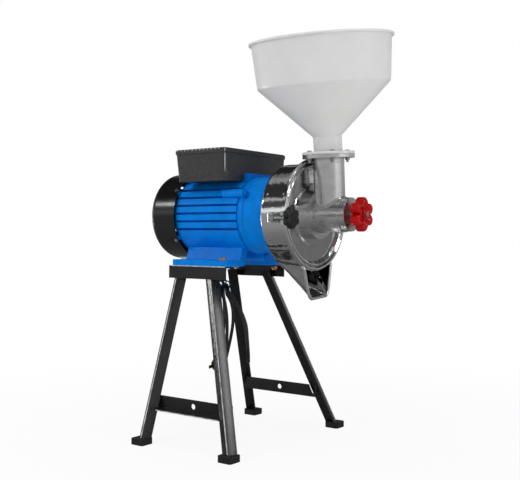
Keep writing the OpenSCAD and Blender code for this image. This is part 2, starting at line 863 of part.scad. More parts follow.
// The outside of the base: full size under the lid, drawn in at its lower edge
module base_outside() hull() {
  translate([box_mid_x, 0, box_lid_z - cut]) rounded_block(base_len, base_w, cut, box_corner);
  translate([box_mid_x + box_draft / 2, 0, box_z0])
    rounded_block(base_len - box_draft, base_w - 2 * box_draft, cut, box_corner);
}

module box_base() color("#2b2c2e") difference() {
  union() {
    difference() {
      union() {
        base_outside();
        translate([box_mid_x - side_pad_len / 2, side_pad_y - 2 * box_draft, side_pad_z0])
          cube([side_pad_len, 2 * box_draft, box_lid_z - side_pad_z0]);
      }
      translate([box_mid_x + box_draft / 2, 0, floor_z]) rounded_block(
        base_len - 2 * box_wall - box_draft, base_w - 2 * box_wall - 2 * box_draft, box_top, box_corner);
    }
    for (x = [-1, 1], y = [-1, 1])
      translate([box_mid_x + box_draft / 2 + x * (base_len / 2 - box_draft - post_inset),
                 y * (base_w / 2 - box_draft - post_inset), floor_z - cut])
        cylinder(r = post_r, h = box_lid_z - floor_z + cut);
  }
  disc(box_x - cut, motor_r + fan_cover_t, box_len + 2 * cut);
  translate([box_x - cut, -pad_w / 2, axis_h]) cube([box_len + 2 * cut, pad_w, pad_top]);
  translate([switch_x - switch_w / 2 - bezel_wall, 0, switch_z - switch_h / 2 - bezel_wall])
    cube([switch_w + 2 * bezel_wall, box_w, switch_h + 2 * bezel_wall]);
  translate([gland_x, 0, switch_z]) rotate([-90, 0, 0]) cylinder(r = gland_r, h = box_w);
  lid_screw_places() translate([0, 0, -2 * post_inset]) cylinder(r = lid_screw_r, h = 2 * post_inset);
}

// Places its children at the four lid screws, at the top of the posts
module lid_screw_places() for (x = [-1, 1], y = [-1, 1])
  translate([box_mid_x + box_draft / 2 + x * (base_len / 2 - box_draft - post_inset),
             y * (base_w / 2 - box_draft - post_inset), box_lid_z]) children();

module box_lid() color("#2b2c2e") difference() {
  hull() {
    translate([box_mid_x, 0, box_lid_z]) rounded_block(box_len, box_w, lid_h - lid_bevel, box_corner);
    translate([box_mid_x, 0, box_lid_z + lid_h - lid_bevel])
      rounded_block(box_len - 2 * lid_bevel, box_w - 2 * lid_bevel, lid_bevel, box_corner);
  }
  lid_screw_places() {
    translate([0, 0, -cut]) cylinder(r = lid_screw_r, h = lid_h + 2 * cut);
    translate([0, 0, lid_h - lid_screw_r]) cylinder(r = 2 * lid_screw_r, h = lid_h);
  }
}

module lid_screws() color("#55585c") lid_screw_places() {
  translate([0, 0, lid_h - lid_screw_r]) cylinder(r = lid_screw_r * head_r_share, h = lid_screw_r);
  translate([0, 0, -post_inset]) cylinder(r = lid_screw_r, h = lid_h + post_inset - lid_screw_r);
}

capacitor_len = box_w - 12 * box_wall - 2 * box_corner;
capacitor_share = 0.62;
capacitor_x = box_mid_x - base_len / 2 + box_draft + 2 * box_wall + post_inset + capacitor_r;

module capacitors() color("#3c4046") {
  translate([capacitor_x, -capacitor_len / 2, floor_z + capacitor_r + gap]) rotate([-90, 0, 0])
    cylinder(r = capacitor_r, h = capacitor_len * capacitor_share);
  translate([box_mid_x, -capacitor_len / 2, floor_z + capacitor_r + gap]) rotate([-90, 0, 0])
    cylinder(r = capacitor_r, h = capacitor_len * capacitor_share);
}

module switch_bezel() color("#101112") translate([switch_x, side_pad_y, switch_z]) difference() {
  union() {
    translate([-switch_w / 2 - bezel_rim, 0, -switch_h / 2 - bezel_rim])
      cube([switch_w + 2 * bezel_rim, bezel_t, switch_h + 2 * bezel_rim]);
    translate([-switch_w / 2 - bezel_wall, -bezel_depth, -switch_h / 2 - bezel_wall])
      cube([switch_w + 2 * bezel_wall, bezel_depth, switch_h + 2 * bezel_wall]);
  }
  translate([-switch_w / 2, -bezel_depth + bezel_wall, -switch_h / 2])
    cube([switch_w, 2 * bezel_depth, switch_h]);
}

// Rocker of the switch, tilted to its off position, with a shallow V across its face
module switch_rocker() color("#c01818")
  translate([switch_x - switch_w / 2 + rocker_fit / 2, side_pad_y + bezel_t - rocker_depth, switch_z])
    rotate([rocker_tilt, 0, 0]) rotate([90, 0, 90]) linear_extrude(switch_w - rocker_fit) polygon([
      [-rocker_out, 0], [0, -rocker_half], [rocker_depth + rocker_out, -rocker_half],
      [rocker_depth, 0], [rocker_depth + rocker_out, rocker_half], [0, rocker_half]
    ]);

// Cable gland: a hexagon, a threaded neck through the wall and a tapered strain relief
module cable_gland() color("#131415") translate([gland_x, side_pad_y, switch_z]) rotate([-90, 0, 0])
  difference() {
    union() {
      cylinder(r = gland_nut_r, h = gland_nut_t, $fn = 6);
      translate([0, 0, -gland_in]) cylinder(r = gland_r, h = gland_in + cut);
      translate([0, 0, gland_nut_t]) cylinder(r1 = gland_r, r2 = cord_r + cut, h = gland_len - gland_nut_t);
    }
    translate([0, 0, -gland_in - cut]) cylinder(r = cord_r - cut, h = gland_in + cut);
  }

// Grinding bowl

// The space of the spout, drawn in by t on its sides and floor
module spout_space(t, over) hull() {
  section(bar_x - spout_mouth_t, spout_mouth_t + over) hull() {
    translate([-spout_top_w + t, -spout_top_z]) square([2 * spout_top_w - 2 * t, spout_mouth_t]);
    for (s = [-1, 1]) translate([s * (spout_bottom_w - spout_corner), spout_corner - spout_drop])
      circle(r = spout_corner - t, $fn = 32);
  }
  translate([bowl_x + bowl_t + t, -spout_root_y + t, axis_h - spout_root_z - spout_root_t + t])
    cube([bowl_depth - 2 * bowl_t - 2 * t, 2 * spout_root_y - 2 * t, spout_root_t]);
}

module grinding_bowl() color("#cdd0d3") head() difference() {
  union() {
    turned(bowl_x) polygon([
      [bowl_hole_r, 0], [bowl_r, 0], [bowl_r, bowl_depth - bowl_t], [bowl_rim_r, bowl_depth - bowl_t],
      [bowl_rim_r, bowl_depth], [bowl_r - bowl_t, bowl_depth], [bowl_r - bowl_t, bowl_t],
      [bowl_hole_r, bowl_t]
    ]);
    difference() {
      spout_space(0, 0);
      disc(bowl_x - cut, bowl_r - bowl_t, bowl_depth + 2 * cut);
      disc(rim_x, cover_r + gap, bead_h + cut);
      disc(rim_x - bowl_t, cover_r + gap - bowl_t, bead_h + cut);
    }
  }
  spout_space(bowl_t, cut);
  for (a = [45:90:315]) around(a) translate([0, 0, bowl_bolt_ring])
    disc(bowl_x - cut, bowl_bolt_r, bowl_t + 2 * cut);
}

module bowl_bolts() color("#d4d6d8") head() for (a = [45:90:315]) around(a)
  translate([0, 0, bowl_bolt_ring]) on_axis(bowl_x + bowl_t) hex_screw(bowl_bolt_r, bowl_t + 2 * shield_wall);

// Front cover: a dished pressing with a beaded edge and a raised middle boss
module front_cover() color("#d2d4d6") head() difference() {
  turned(rim_x) polygon(concat(
    [[barrel_bore, boss_out], [boss_r, boss_out], [boss_r + cover_t, -dish_in], [cover_dish_r, -dish_in]],
    arc([second_bead_r, second_bead_out - bead_r / 2], bead_r / 2, 160, 20, 6),
    [[valley_r, valley_out]],
    arc([cover_r - bead_r, bead_h - bead_r], bead_r, 150, 0, 10),
    [[cover_r, 0], [cover_r - cover_t, 0]],
    arc([cover_r - bead_r, bead_h - bead_r], bead_r - cover_t, 0, 120, 6),
    [[valley_r, valley_out - cover_t], [second_bead_r, valley_out - cover_t],
     [second_bead_r - cover_t - bead_r / 2, 0], [cover_dish_r - cover_t / 2, -dish_in - cover_t],
     [boss_r, -dish_in - cover_t], [boss_r - cover_t, boss_out - cover_t],
     [barrel_bore, boss_out - cover_t]]
  ));
  for (a = [0, 120, 240]) around(a) translate([0, 0, burr_screw_ring])
    disc(rim_x - cover_t - cut, burr_screw_r, 2 * cover_t + 2 * cut);
}

// Feed casting

// Outline of the clamp bar, drawn as [across, up]
module bar_outline() difference() {
  union() for (m = [0, 1]) mirror([m, 0]) polygon([
    [0, -bar_mid_h], [bar_mid_y, -bar_mid_h], [bolt_y - ear_h, -ear_h], [bolt_y + ear_lip, -ear_h],
    [bolt_y + ear_lip, ear_h], [bolt_y - ear_h, ear_h], [bar_mid_y, bar_mid_h], [0, bar_mid_h]
  ]);
  for (m = [0, 1]) mirror([m, 0]) {
    translate([bolt_y, 0]) circle(r = slot_r);
    translate([bolt_y, -slot_r]) square([bolt_y, 2 * slot_r]);
  }
}

module throat_at(z) translate([throat_x, 0, axis_h + z]) children();

module feed_casting() color("#c4c7ca") head() difference() {
  union() {
    section(bar_x, bar_t) bar_outline();
    disc(collar_x, collar_r, collar_t);
    disc(bar_x, barrel_r, barrel_len);
    disc(bar_x + bar_t, ring_r, ring_t);
    disc(cap_x - band_len - band_back, band_r, band_len);
    throat_at(0) cylinder(r = throat_r, h = flange_z - flange_t / 2);
    throat_at(flange_z - flange_t) cylinder(r = flange_r, h = flange_t);
  }
  disc(collar_x - cut, barrel_bore, barrel_len + bead_h + 2 * cut);
  throat_at(0) cylinder(r = throat_bore, h = flange_z + cut);
  intersection() {
    disc(rim_x - gap, cover_r + gap, bead_h + 2 * gap);
    throat_at(flange_z - flange_t - cut) cylinder(r = flange_r + gap, h = flange_t);
  }
  for (a = [45:90:315]) throat_at(flange_z - flange_t - cut) rotate(a) translate([hopper_bolt_ring, 0])
    cylinder(r = hopper_bolt_r, h = flange_t + 2 * cut);
  for (a = [45:90:315]) around(a) translate([0, 0, cap_screw_ring])
    disc(cap_x - cap_t, cap_screw_r, cap_t + cut);
  for (a = [0, 120, 240]) around(a) translate([0, 0, burr_screw_ring])
    disc(collar_x - cut, burr_screw_r, collar_t - bar_t + cut);
}

// Grinding parts

// Teeth cut into a burr's face, which lies at x
module burr_teeth(x) translate([x, 0, 0]) {
  for (i = [0:furrows - 1]) around(i * 360 / furrows) translate([0, 0, axis_h]) rotate([furrow_skew, 0, 0])
    translate([-tooth_depth, -furrow_w / 2, burr_bore - furrow_w])
      cube([2 * tooth_depth, furrow_w, burr_r - edge_tooth_len - burr_bore + furrow_w]);
  for (i = [0:edge_teeth - 1]) around(i * 360 / edge_teeth) translate([0, 0, axis_h])
    translate([-tooth_depth / 2, -edge_tooth_w / 2, burr_r - edge_tooth_len + edge_tooth_w])
      cube([tooth_depth, edge_tooth_w, edge_tooth_len]);
}

module fixed_burr() color("#7c7f82") head() difference() {
  union() {
    ring(fixed_burr_x, burr_r, burr_bore, burr_t);
    ring(fixed_burr_x + burr_t - cut, burr_seat_r, burr_bore, burr_seat + cut);
  }
  burr_teeth(fixed_burr_x);
  for (a = [0, 120, 240]) around(a) translate([0, 0, burr_screw_ring]) {
    disc(fixed_burr_x - cut, burr_screw_r, burr_t + burr_seat + 2 * cut);
    disc(fixed_burr_x - cut, burr_screw_r * head_r_share + gap, burr_sink + cut);
  }
}

module burr_screws() color("#5c5f63") head() for (a = [0, 120, 240]) around(a)
  translate([0, 0, burr_screw_ring]) mirror([1, 0, 0])
    on_axis(-fixed_burr_x - burr_sink)
      pan_screw(burr_screw_r, burr_t - burr_sink + burr_seat + cover_t + collar_t - bar_t - cut);

module moving_burr() color("#7c7f82") difference() {
  ring(moving_burr_x, burr_r, auger_hub_r, burr_t);
  burr_teeth(moving_face_x);
}

// Auger: a hub on the motor shaft, a flange for the moving burr and a core with its helical flight
module auger() color("#8e9195") difference() {
  union() {
    disc(auger_hub_x, auger_hub_r, moving_face_x - auger_hub_x);
    disc(moving_burr_x - hub_flange_t, hub_flange_r, hub_flange_t);
    disc(moving_face_x - cut, auger_core_r, auger_nose_x - moving_face_x + cut);
    on_axis(moving_face_x - cut)
      linear_extrude(auger_nose_x - moving_face_x - 2 * ball_r,
                     twist = -360 * (auger_nose_x - moving_face_x - 2 * ball_r) / flight_pitch,
                     slices = flight_steps, $fn = flight_fn)
        polygon(concat([[0, 0]], arc([0, 0], flight_r, 0, flight_angle, 3)));
  }
  disc(auger_hub_x - cut, drive_r + run_fit, socket_end_x - auger_hub_x + cut);
}

module thrust_ball() color("#d9dbdd")
  translate([auger_nose_x + ball_gap + ball_r, 0, axis_h]) sphere(r = ball_r);

module barrel_end_cap() color("#b4b7ba") head() difference() {
  union() {
    disc(cap_x, barrel_r, cap_t - cut);
    disc(cap_x, barrel_r - cut, cap_t);
    disc(cap_x - cut, barrel_bore - gap, cut);
  }
  disc(cap_x - 2 * cut, adjust_r + run_fit, cap_t + 3 * cut);
  for (a = [45:90:315]) around(a) translate([0, 0, cap_screw_ring])
    disc(cap_x - 2 * cut, cap_screw_r, cap_t + 3 * cut);
}

module end_cap_screws() color("#33363a") head() for (a = [45:90:315]) around(a)
  translate([0, 0, cap_screw_ring]) on_axis(cap_end_x) hex_screw(cap_screw_r, cap_t + cap_t / 2);

module adjust_screw() color("#c3c6c9") difference() {
  disc(screw_tip_x, adjust_r, wheel_x + wheel_t - wheel_recess - screw_tip_x);
  disc(wheel_x + wheel_t / 2, wheel_screw_r, wheel_t);
}

// Outline of the handwheel with its lobes
module wheel_outline() {
  circle(r = wheel_hub_r);
  for (i = [0:wheel_lobes - 1]) rotate(i * 360 / wheel_lobes) {
    translate([wheel_r - wheel_lobe_r, 0]) circle(r = wheel_lobe_r);
    translate([0, -wheel_lobe_r * spoke_share])
      square([wheel_r - wheel_lobe_r, 2 * wheel_lobe_r * spoke_share]);
  }
}

// Handwheel: the lobes are rounded off at the front and back edges
module handwheel() color("#cf1a1e") difference() {
  intersection() {
    on_axis(wheel_x) linear_extrude(wheel_t) wheel_outline();
    turned(wheel_x) polygon(concat(
      [[0, wheel_back]],
      arc([wheel_r - wheel_round, wheel_back + wheel_round], wheel_round, -90, 0, 6),
      arc([wheel_r - wheel_round, wheel_t - wheel_round], wheel_round, 0, 90, 6),
      [[0, wheel_t]]
    ));
  }
  disc(wheel_x - cut, adjust_r, wheel_t + 2 * cut);
}

module handwheel_screw() color("#d8dadc") on_axis(wheel_x + wheel_t - wheel_recess)
  pan_screw(wheel_screw_r * screw_fit_share, wheel_t / 2 - wheel_recess - cut);

// Swing bolts, drawn on the near side

module bolt_bracket() {
  difference() {
    union() {
      translate([pivot_x - bracket_back, -bowl_r - bracket_t, axis_h - bracket_h / 2])
        cube([bracket_back + rim_x - bowl_t - pivot_x, 2 * bracket_t, bracket_h]);
      for (s = [-1, 1]) translate([pivot_x, 0, axis_h + s * (eye_t / 2 + lug_gap + lug_t / 2) - lug_t / 2]) {
        translate([-eye_r, -bolt_y, 0]) cube([2 * eye_r, bolt_y - bowl_r, lug_t]);
        translate([0, -bolt_y, 0]) cylinder(r = eye_r, h = lug_t);
      }
    }
    disc(bowl_x, bowl_r, bowl_depth + cut);
    translate([pivot_x, -bolt_y, axis_h - bracket_h]) cylinder(r = pin_r, h = 2 * bracket_h);
  }
  translate([pivot_x, -bolt_y, axis_h - eye_t / 2 - lug_t - lug_gap - pin_over])
    cylinder(r = pin_r, h = eye_t + 2 * lug_t + 2 * lug_gap + 2 * pin_over);
}

module swing_bolt() difference() {
  union() {
    translate([pivot_x, -bolt_y, axis_h - eye_t / 2]) cylinder(r = eye_r, h = eye_t);
    translate([0, -bolt_y, 0]) disc(pivot_x + eye_r / 2, rod_r, rod_end_x - pivot_x - eye_r / 2);
  }
  translate([pivot_x, -bolt_y, axis_h - eye_t]) cylinder(r = pin_r + run_fit, h = 2 * eye_t);
}

module washer() translate([0, -bolt_y, 0]) ring(washer_x, washer_r, rod_r + run_fit, washer_t);

// Outline of a star knob
module star_outline() {
  circle(r = knob_r - knob_lobe_r);
  for (i = [0:knob_points - 1]) rotate(i * 360 / knob_points) translate([knob_r - knob_lobe_r, 0])
    circle(r = knob_lobe_r);
}

module star_knob() translate([0, -bolt_y, 0]) difference() {
  union() {
    disc(knob_x, knob_boss_r, knob_boss_t + cut);
    on_axis(knob_x + knob_boss_t) linear_extrude(knob_t - cut) star_outline();
    disc(knob_x + knob_boss_t, knob_r / 2, knob_t);
  }
  disc(knob_x - cut, rod_r + run_fit, knob_boss_t + knob_t - knob_cap + cut);
}

module near_bolt_bracket() color("#c9ccce") head() bolt_bracket();
module far_bolt_bracket() color("#c9ccce") head() far_side() bolt_bracket();
module near_swing_bolt() color("#b9bcbf") head() swing_bolt();
module far_swing_bolt() color("#b9bcbf") head() far_side() swing_bolt();
module near_washer() color("#b9bcbf") head() washer();
module far_washer() color("#b9bcbf") head() far_side() washer();
module near_star_knob() color("#17181a") head() star_knob();
module far_star_knob() color("#17181a") head() far_side() star_knob();

// Hopper

module at_hopper() head() throat_at(flange_z) children();

module hopper() color("#e9eaec") at_hopper() difference() {
  union() {
    cylinder(r = flange_r, h = hopper_flange_t);
    rotate([hopper_lean, 0, 0]) rotate_extrude() polygon([
      [neck_r - hopper_t, cut * 2], [neck_r, cut * 2], [neck_r, neck_h], [cone_r, cone_h - hopper_t],
      [cone_r + hopper_t / 2, cone_h],
      [rim_r, hopper_h - lip_w], [rim_r + lip_w, hopper_h - lip_w], [rim_r + lip_w, hopper_h - hopper_t / 2],
      [rim_r + lip_w - hopper_t / 2, hopper_h], [rim_r - hopper_t, hopper_h],
      [cone_r - hopper_t, cone_h], [neck_r - hopper_t, neck_h + hopper_t]
    ]);
  }
  translate([0, 0, -cut]) cylinder(r = throat_bore - cut, h = hopper_flange_t + 2 * cut);
  for (a = [45:90:315]) rotate(a) translate([hopper_bolt_ring, 0, -cut])
    cylinder(r = hopper_bolt_r, h = hopper_flange_t + 2 * cut);
}

module hopper_bolts() color("#c7cacc") at_hopper() for (a = [45:90:315]) rotate(a)
  translate([hopper_bolt_ring, 0, 0]) {
    translate([0, 0, hopper_flange_t])
      hex_screw(hopper_bolt_r, hopper_flange_t + flange_t + 2 * hopper_bolt_head);
    translate([0, 0, -flange_t - hopper_bolt_head])
      cylinder(r = hopper_bolt_r * head_r_share, h = hopper_bolt_head, $fn = 6);
  }

// Mains lead

// One step from a to b on the smooth curve through p, a, b and q
function spline(p, a, b, q, t) = 0.5 * (2 * a + (b - p) * t + (2 * p - 5 * a + 4 * b - q) * t * t
  + (3 * a - p - 3 * b + q) * t * t * t);

// A route drawn as a smooth curve with n steps between its points
function smooth(pts, n) = let (m = len(pts) - 1) [for (i = [0:m - 1], j = [0:n - 1])
  spline(pts[max(i - 1, 0)], pts[i], pts[i + 1], pts[min(i + 2, m)], j / n), pts[m]];

function unit(v) = v / norm(v);

// Direction of a route at each of its points
function headings(pts) = let (m = len(pts) - 1)
  [for (i = [0:m]) unit(pts[min(i + 1, m)] - pts[max(i - 1, 0)])];

// A side direction at each point that turns with the route
function sides(t, s0) = [for (i = 0, s = unit(s0 - (s0 * t[0]) * t[0]); i < len(t);
  s = i + 1 < len(t) ? unit(s - (s * t[i + 1]) * t[i + 1]) : s, i = i + 1) s];

// A tube of radius r with n sides along a route
module tube(pts, r, n, s0) {
  t = headings(pts);
  s = sides(t, s0);
  m = len(pts);
  ring_pts = [for (i = [0:m - 1], k = [0:n - 1]) let (a = k * 360 / n)
    pts[i] + r * (cos(a) * s[i] + sin(a) * cross(t[i], s[i]))];
  walls = [for (i = [0:m - 2], k = [0:n - 1], h = [0, 1]) let (a = i * n + k, b = i * n + (k + 1) % n)
    h == 0 ? [a, b, b + n] : [a, b + n, a + n]];
  ends = [for (k = [1:n - 2], h = [0, 1]) h == 0 ? [0, k + 1, k] :
    [(m - 1) * n, (m - 1) * n + k, (m - 1) * n + k + 1]];
  polyhedron(ring_pts, concat([for (f = walls) [f[0], f[2], f[1]]], [for (f = ends) [f[0], f[2], f[1]]]));
}

// The hank's loops hang in planes that turn this much from the machine's length
across_dir = [cos(hank_turn), sin(hank_turn), 0];
depth_dir = [-sin(hank_turn), cos(hank_turn), 0];
arc_share = 180 / PI;
bend_len = PI * hank_bend / 2;
loop_len = 2 * hank_run + 4 * bend_len;

// Place on one loop, [depth, height], at the distance d along it from the loop's top
function on_loop(d) = d < bend_len
  ? let (a = d / hank_bend * arc_share) [hank_bend * sin(a), hank_run / 2 + hank_bend * cos(a)]
  : d < bend_len + hank_run
  ? [hank_bend, hank_run / 2 - (d - bend_len)]
  : d < 3 * bend_len + hank_run
  ? let (a = (d - bend_len - hank_run) / hank_bend * arc_share)
    [hank_bend * cos(a), -hank_run / 2 - hank_bend * sin(a)]
  : d < 3 * bend_len + 2 * hank_run
  ? [-hank_bend, -hank_run / 2 + (d - 3 * bend_len - hank_run)]
  : let (a = (d - 3 * bend_len - 2 * hank_run) / hank_bend * arc_share)
    [-hank_bend * cos(a), hank_run / 2 + hank_bend * sin(a)];

// Place on the hank after s loops: the loops lie side by side and the first one bulges outwards
function on_hank(s) = let (
    q = on_loop((s - floor(s)) * loop_len),
    share = max(0, min(1, 0.5 - q[1] / hank_run)),
    bulge = hank_bulge * max(0, 1 - s / bulge_share) * sin(180 * pow(share, skew_share)),
    tail = max(0, s - hank_loops) * hank_steps / tail_steps,
    out = tail_out * tail * tail * (3 - 2 * tail))
  hank_middle + (hank_pitch * (hank_loops / 2 - s) + bulge) * across_dir
    + (q[0] + out) * depth_dir + [0, 0, q[1]];

hank_pts = [for (i = [0:hank_loops * hank_steps + tail_steps]) on_hank(i / hank_steps)];
route_end = power_route[len(power_route) - 1];
power_pts = concat(smooth(power_route, route_steps),
  [hank_pts[0] + join_gap * unit(route_end - hank_pts[0])]);

// Least distance between two strands that are more than skip steps apart
function least_gap(pts, skip) = min([for (i = [0:len(pts) - skip - 1], j = [i + skip:len(pts) - 1])
  norm(pts[i] - pts[j])]) - 2 * cord_r;
function path_len(pts) = let (d = [for (i = [1:len(pts) - 1]) norm(pts[i] - pts[i - 1])])
  d * [for (i = d) 1];
hank_gap = least_gap(hank_pts, 5);
power_gap = least_gap(power_pts, 8);
between_gap = min([for (a = [0:len(power_pts) - 1], b = [0:len(hank_pts) - 1])
  if (len(power_pts) - a + b > join_skip) norm(power_pts[a] - hank_pts[b])]) - 2 * cord_r;
echo(hank_gap = hank_gap, power_gap = power_gap, between_gap = between_gap,
     power_len = path_len(power_pts), hank_len = path_len(hank_pts));

module power_cord() color("#131314") tube(power_pts, cord_r, 8, [1, 0, 0]);
module cord_hank() color("#131314") tube(hank_pts, cord_r, 6, across_dir);

// Plug on the hank's free end, with its bend protector, body and two flat pins
module at_plug() translate(hank_pts[len(hank_pts) - 1]) rotate(hank_turn) rotate([0, -plug_tilt, 0])
  translate([0, 0, -relief_len - plug_gap]) children();

module mains_plug() color("#161618") at_plug() {
  cylinder(r1 = relief_r, r2 = cord_r + relief_step, h = relief_len);
  translate([0, 0, -plug_r]) rotate([-90, 0, plug_turn]) {
    translate([0, 0, -plug_t / 2]) cylinder(r = plug_r, h = plug_t);
    translate([0, 0, plug_t / 2 - cut]) cylinder(r = plug_r - plug_step, h = plug_step + cut);
  }
}

module plug_pins() color("#b59a4a") at_plug() translate([0, 0, -plug_r]) rotate([-90, 0, plug_turn])
  for (s = [-1, 1]) translate([s * pin_pitch / 2 - pin_t / 2, -pin_w / 2, plug_t / 2 + plug_step])
    cube([pin_t, pin_w, pin_len]);

// Wire tie through the hole in the near front leg and round the hank's strands
module cord_tie() color("#1c1c1e") tube(smooth(tie_route, route_steps), tie_r, 6, [0, 0, 1]);

near_top_rail();
near_rear_leg();
near_front_leg();
near_cross_strap();
far_top_rail();
far_rear_leg();
far_front_leg();
far_cross_strap();
rubber_feet();
foot_bolts();
motor_housing();
rear_end_shield();
front_end_shield();
shield_bolts();
stator_core();
stator_windings();
bearings();
shaft_seal();
motor_shaft();
rotor_core();
cooling_fan();
fan_cover();
cover_screws();
box_base();
box_lid();
lid_screws();
capacitors();
switch_bezel();
switch_rocker();
cable_gland();
grinding_bowl();
bowl_bolts();
front_cover();
feed_casting();
fixed_burr();
burr_screws();
barrel_end_cap();
end_cap_screws();
auger();
moving_burr();
thrust_ball();
adjust_screw();
handwheel();
handwheel_screw();
near_bolt_bracket();
far_bolt_bracket();
near_swing_bolt();
far_swing_bolt();
near_washer();
far_washer();
near_star_knob();
far_star_knob();
hopper();
hopper_bolts();
power_cord();
cord_hank();
cord_tie();
mains_plug();
plug_pins();
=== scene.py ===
import json
import math

import bmesh
import bpy
from mathutils import Matrix, Vector

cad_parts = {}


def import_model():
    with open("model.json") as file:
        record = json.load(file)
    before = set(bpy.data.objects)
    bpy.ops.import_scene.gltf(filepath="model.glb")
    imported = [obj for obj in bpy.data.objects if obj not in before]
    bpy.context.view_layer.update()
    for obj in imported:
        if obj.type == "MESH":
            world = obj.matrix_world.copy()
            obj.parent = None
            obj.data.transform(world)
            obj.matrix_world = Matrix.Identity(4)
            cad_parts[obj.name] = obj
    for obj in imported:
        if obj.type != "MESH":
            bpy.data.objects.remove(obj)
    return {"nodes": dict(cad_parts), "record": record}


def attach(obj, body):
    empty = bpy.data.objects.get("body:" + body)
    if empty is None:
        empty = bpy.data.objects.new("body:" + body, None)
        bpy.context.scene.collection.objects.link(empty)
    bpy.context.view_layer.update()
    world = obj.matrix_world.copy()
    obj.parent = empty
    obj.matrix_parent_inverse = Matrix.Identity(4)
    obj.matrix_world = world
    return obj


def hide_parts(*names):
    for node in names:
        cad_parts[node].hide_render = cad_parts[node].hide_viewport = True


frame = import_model()
NODES = frame["nodes"]
BODY = {n: b for b, names in frame["record"]["behaviour"]["bodies"].items() for n in names}
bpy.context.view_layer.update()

# Sizes are in mm, as in the source, and MM turns them into metres
MM = 0.001
# Height of the shaft's axis, and the turn of the grinding head about it
AXIS_Z = 441
HEAD_TURN = math.radians(4)

# Camera: its place in metres, its heading, fall and roll in degrees, its lens and sensor in mm
CAMERA_PLACE = (0.96545, -1.3588, 0.3984)
CAMERA_TURNS = (36.48, 0.2, 0.38)
CAMERA_LENS = 59.0
CAMERA_SENSOR = 36
CAMERA_NEAR = 0.05


def camera():
    a, e, r = (math.radians(x) for x in CAMERA_TURNS)
    look = Vector((-math.sin(a) * math.cos(e), math.cos(a) * math.cos(e), -math.sin(e)))
    right = Vector((math.cos(a), math.sin(a), 0))
    up = right.cross(look)
    x = right * math.cos(r) + up * math.sin(r)
    y = up * math.cos(r) - right * math.sin(r)
    data = bpy.data.cameras.new("camera")
    data.lens = CAMERA_LENS
    data.sensor_width = CAMERA_SENSOR
    data.clip_start = CAMERA_NEAR
    cam = bpy.data.objects.new("camera", data)
    bpy.context.scene.collection.objects.link(cam)
    turn = Matrix((x, y, -look)).transposed().to_4x4()
    cam.matrix_world = Matrix.Translation(CAMERA_PLACE) @ turn
    bpy.context.scene.camera = cam


camera()

# Helpers

def put(name, mesh, node=None, body=None, mat=None, stands_for=()):
    ob = bpy.data.objects.new(name, mesh)
    bpy.context.scene.collection.objects.link(ob)
    if mat:
        mesh.materials.append(mat)
    for n in stands_for:
        if n in NODES:
            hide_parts(n)
    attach(ob, body or BODY[node])
    return ob


def finish_mesh(bm, name, angle=35):
    bm.normal_update()
    for f in bm.faces:
        f.smooth = True
    for e in bm.edges:
        if len(e.link_faces) == 2 and e.calc_face_angle(0) > math.radians(angle):
            e.smooth = False
    me = bpy.data.meshes.new(name)
    bm.to_mesh(me)
    bm.free()
    return me


def head(p):
    """A point of the grinding head, which is turned about the shaft's axis."""
    y, z = p[1], p[2]
    c, s = math.cos(HEAD_TURN), math.sin(HEAD_TURN)
    return Vector((p[0], y * c - z * s, AXIS_Z + y * s + z * c))


def modifier(ob, kind, **values):
    m = ob.modifiers.new(kind.lower(), kind)
    for k, v in values.items():
        setattr(m, k, v)
    return m


def around(n):
    """n angles, evenly spaced over a full turn."""
    return [i * math.tau / n for i in range(n)]


def curve(name, pts, radius, body, mat, closed=False, res=4):
    cu = bpy.data.curves.new(name, "CURVE")
    cu.dimensions = "3D"
    cu.bevel_depth = radius
    cu.bevel_resolution = res
    cu.use_fill_caps = True
    sp = cu.splines.new("POLY")
    sp.points.add(len(pts) - 1)
    for i, p in enumerate(pts):
        sp.points[i].co = (*p, 1)
    sp.use_cyclic_u = closed
    sp.use_smooth = True
    ob = bpy.data.objects.new(name, cu)
    bpy.context.scene.collection.objects.link(ob)
    cu.materials.append(mat)
    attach(ob, body)
    return ob


# Materials

PLASTIC_IOR = 1.5
SCATTER_RADIUS = (0.012, 0.011, 0.010)


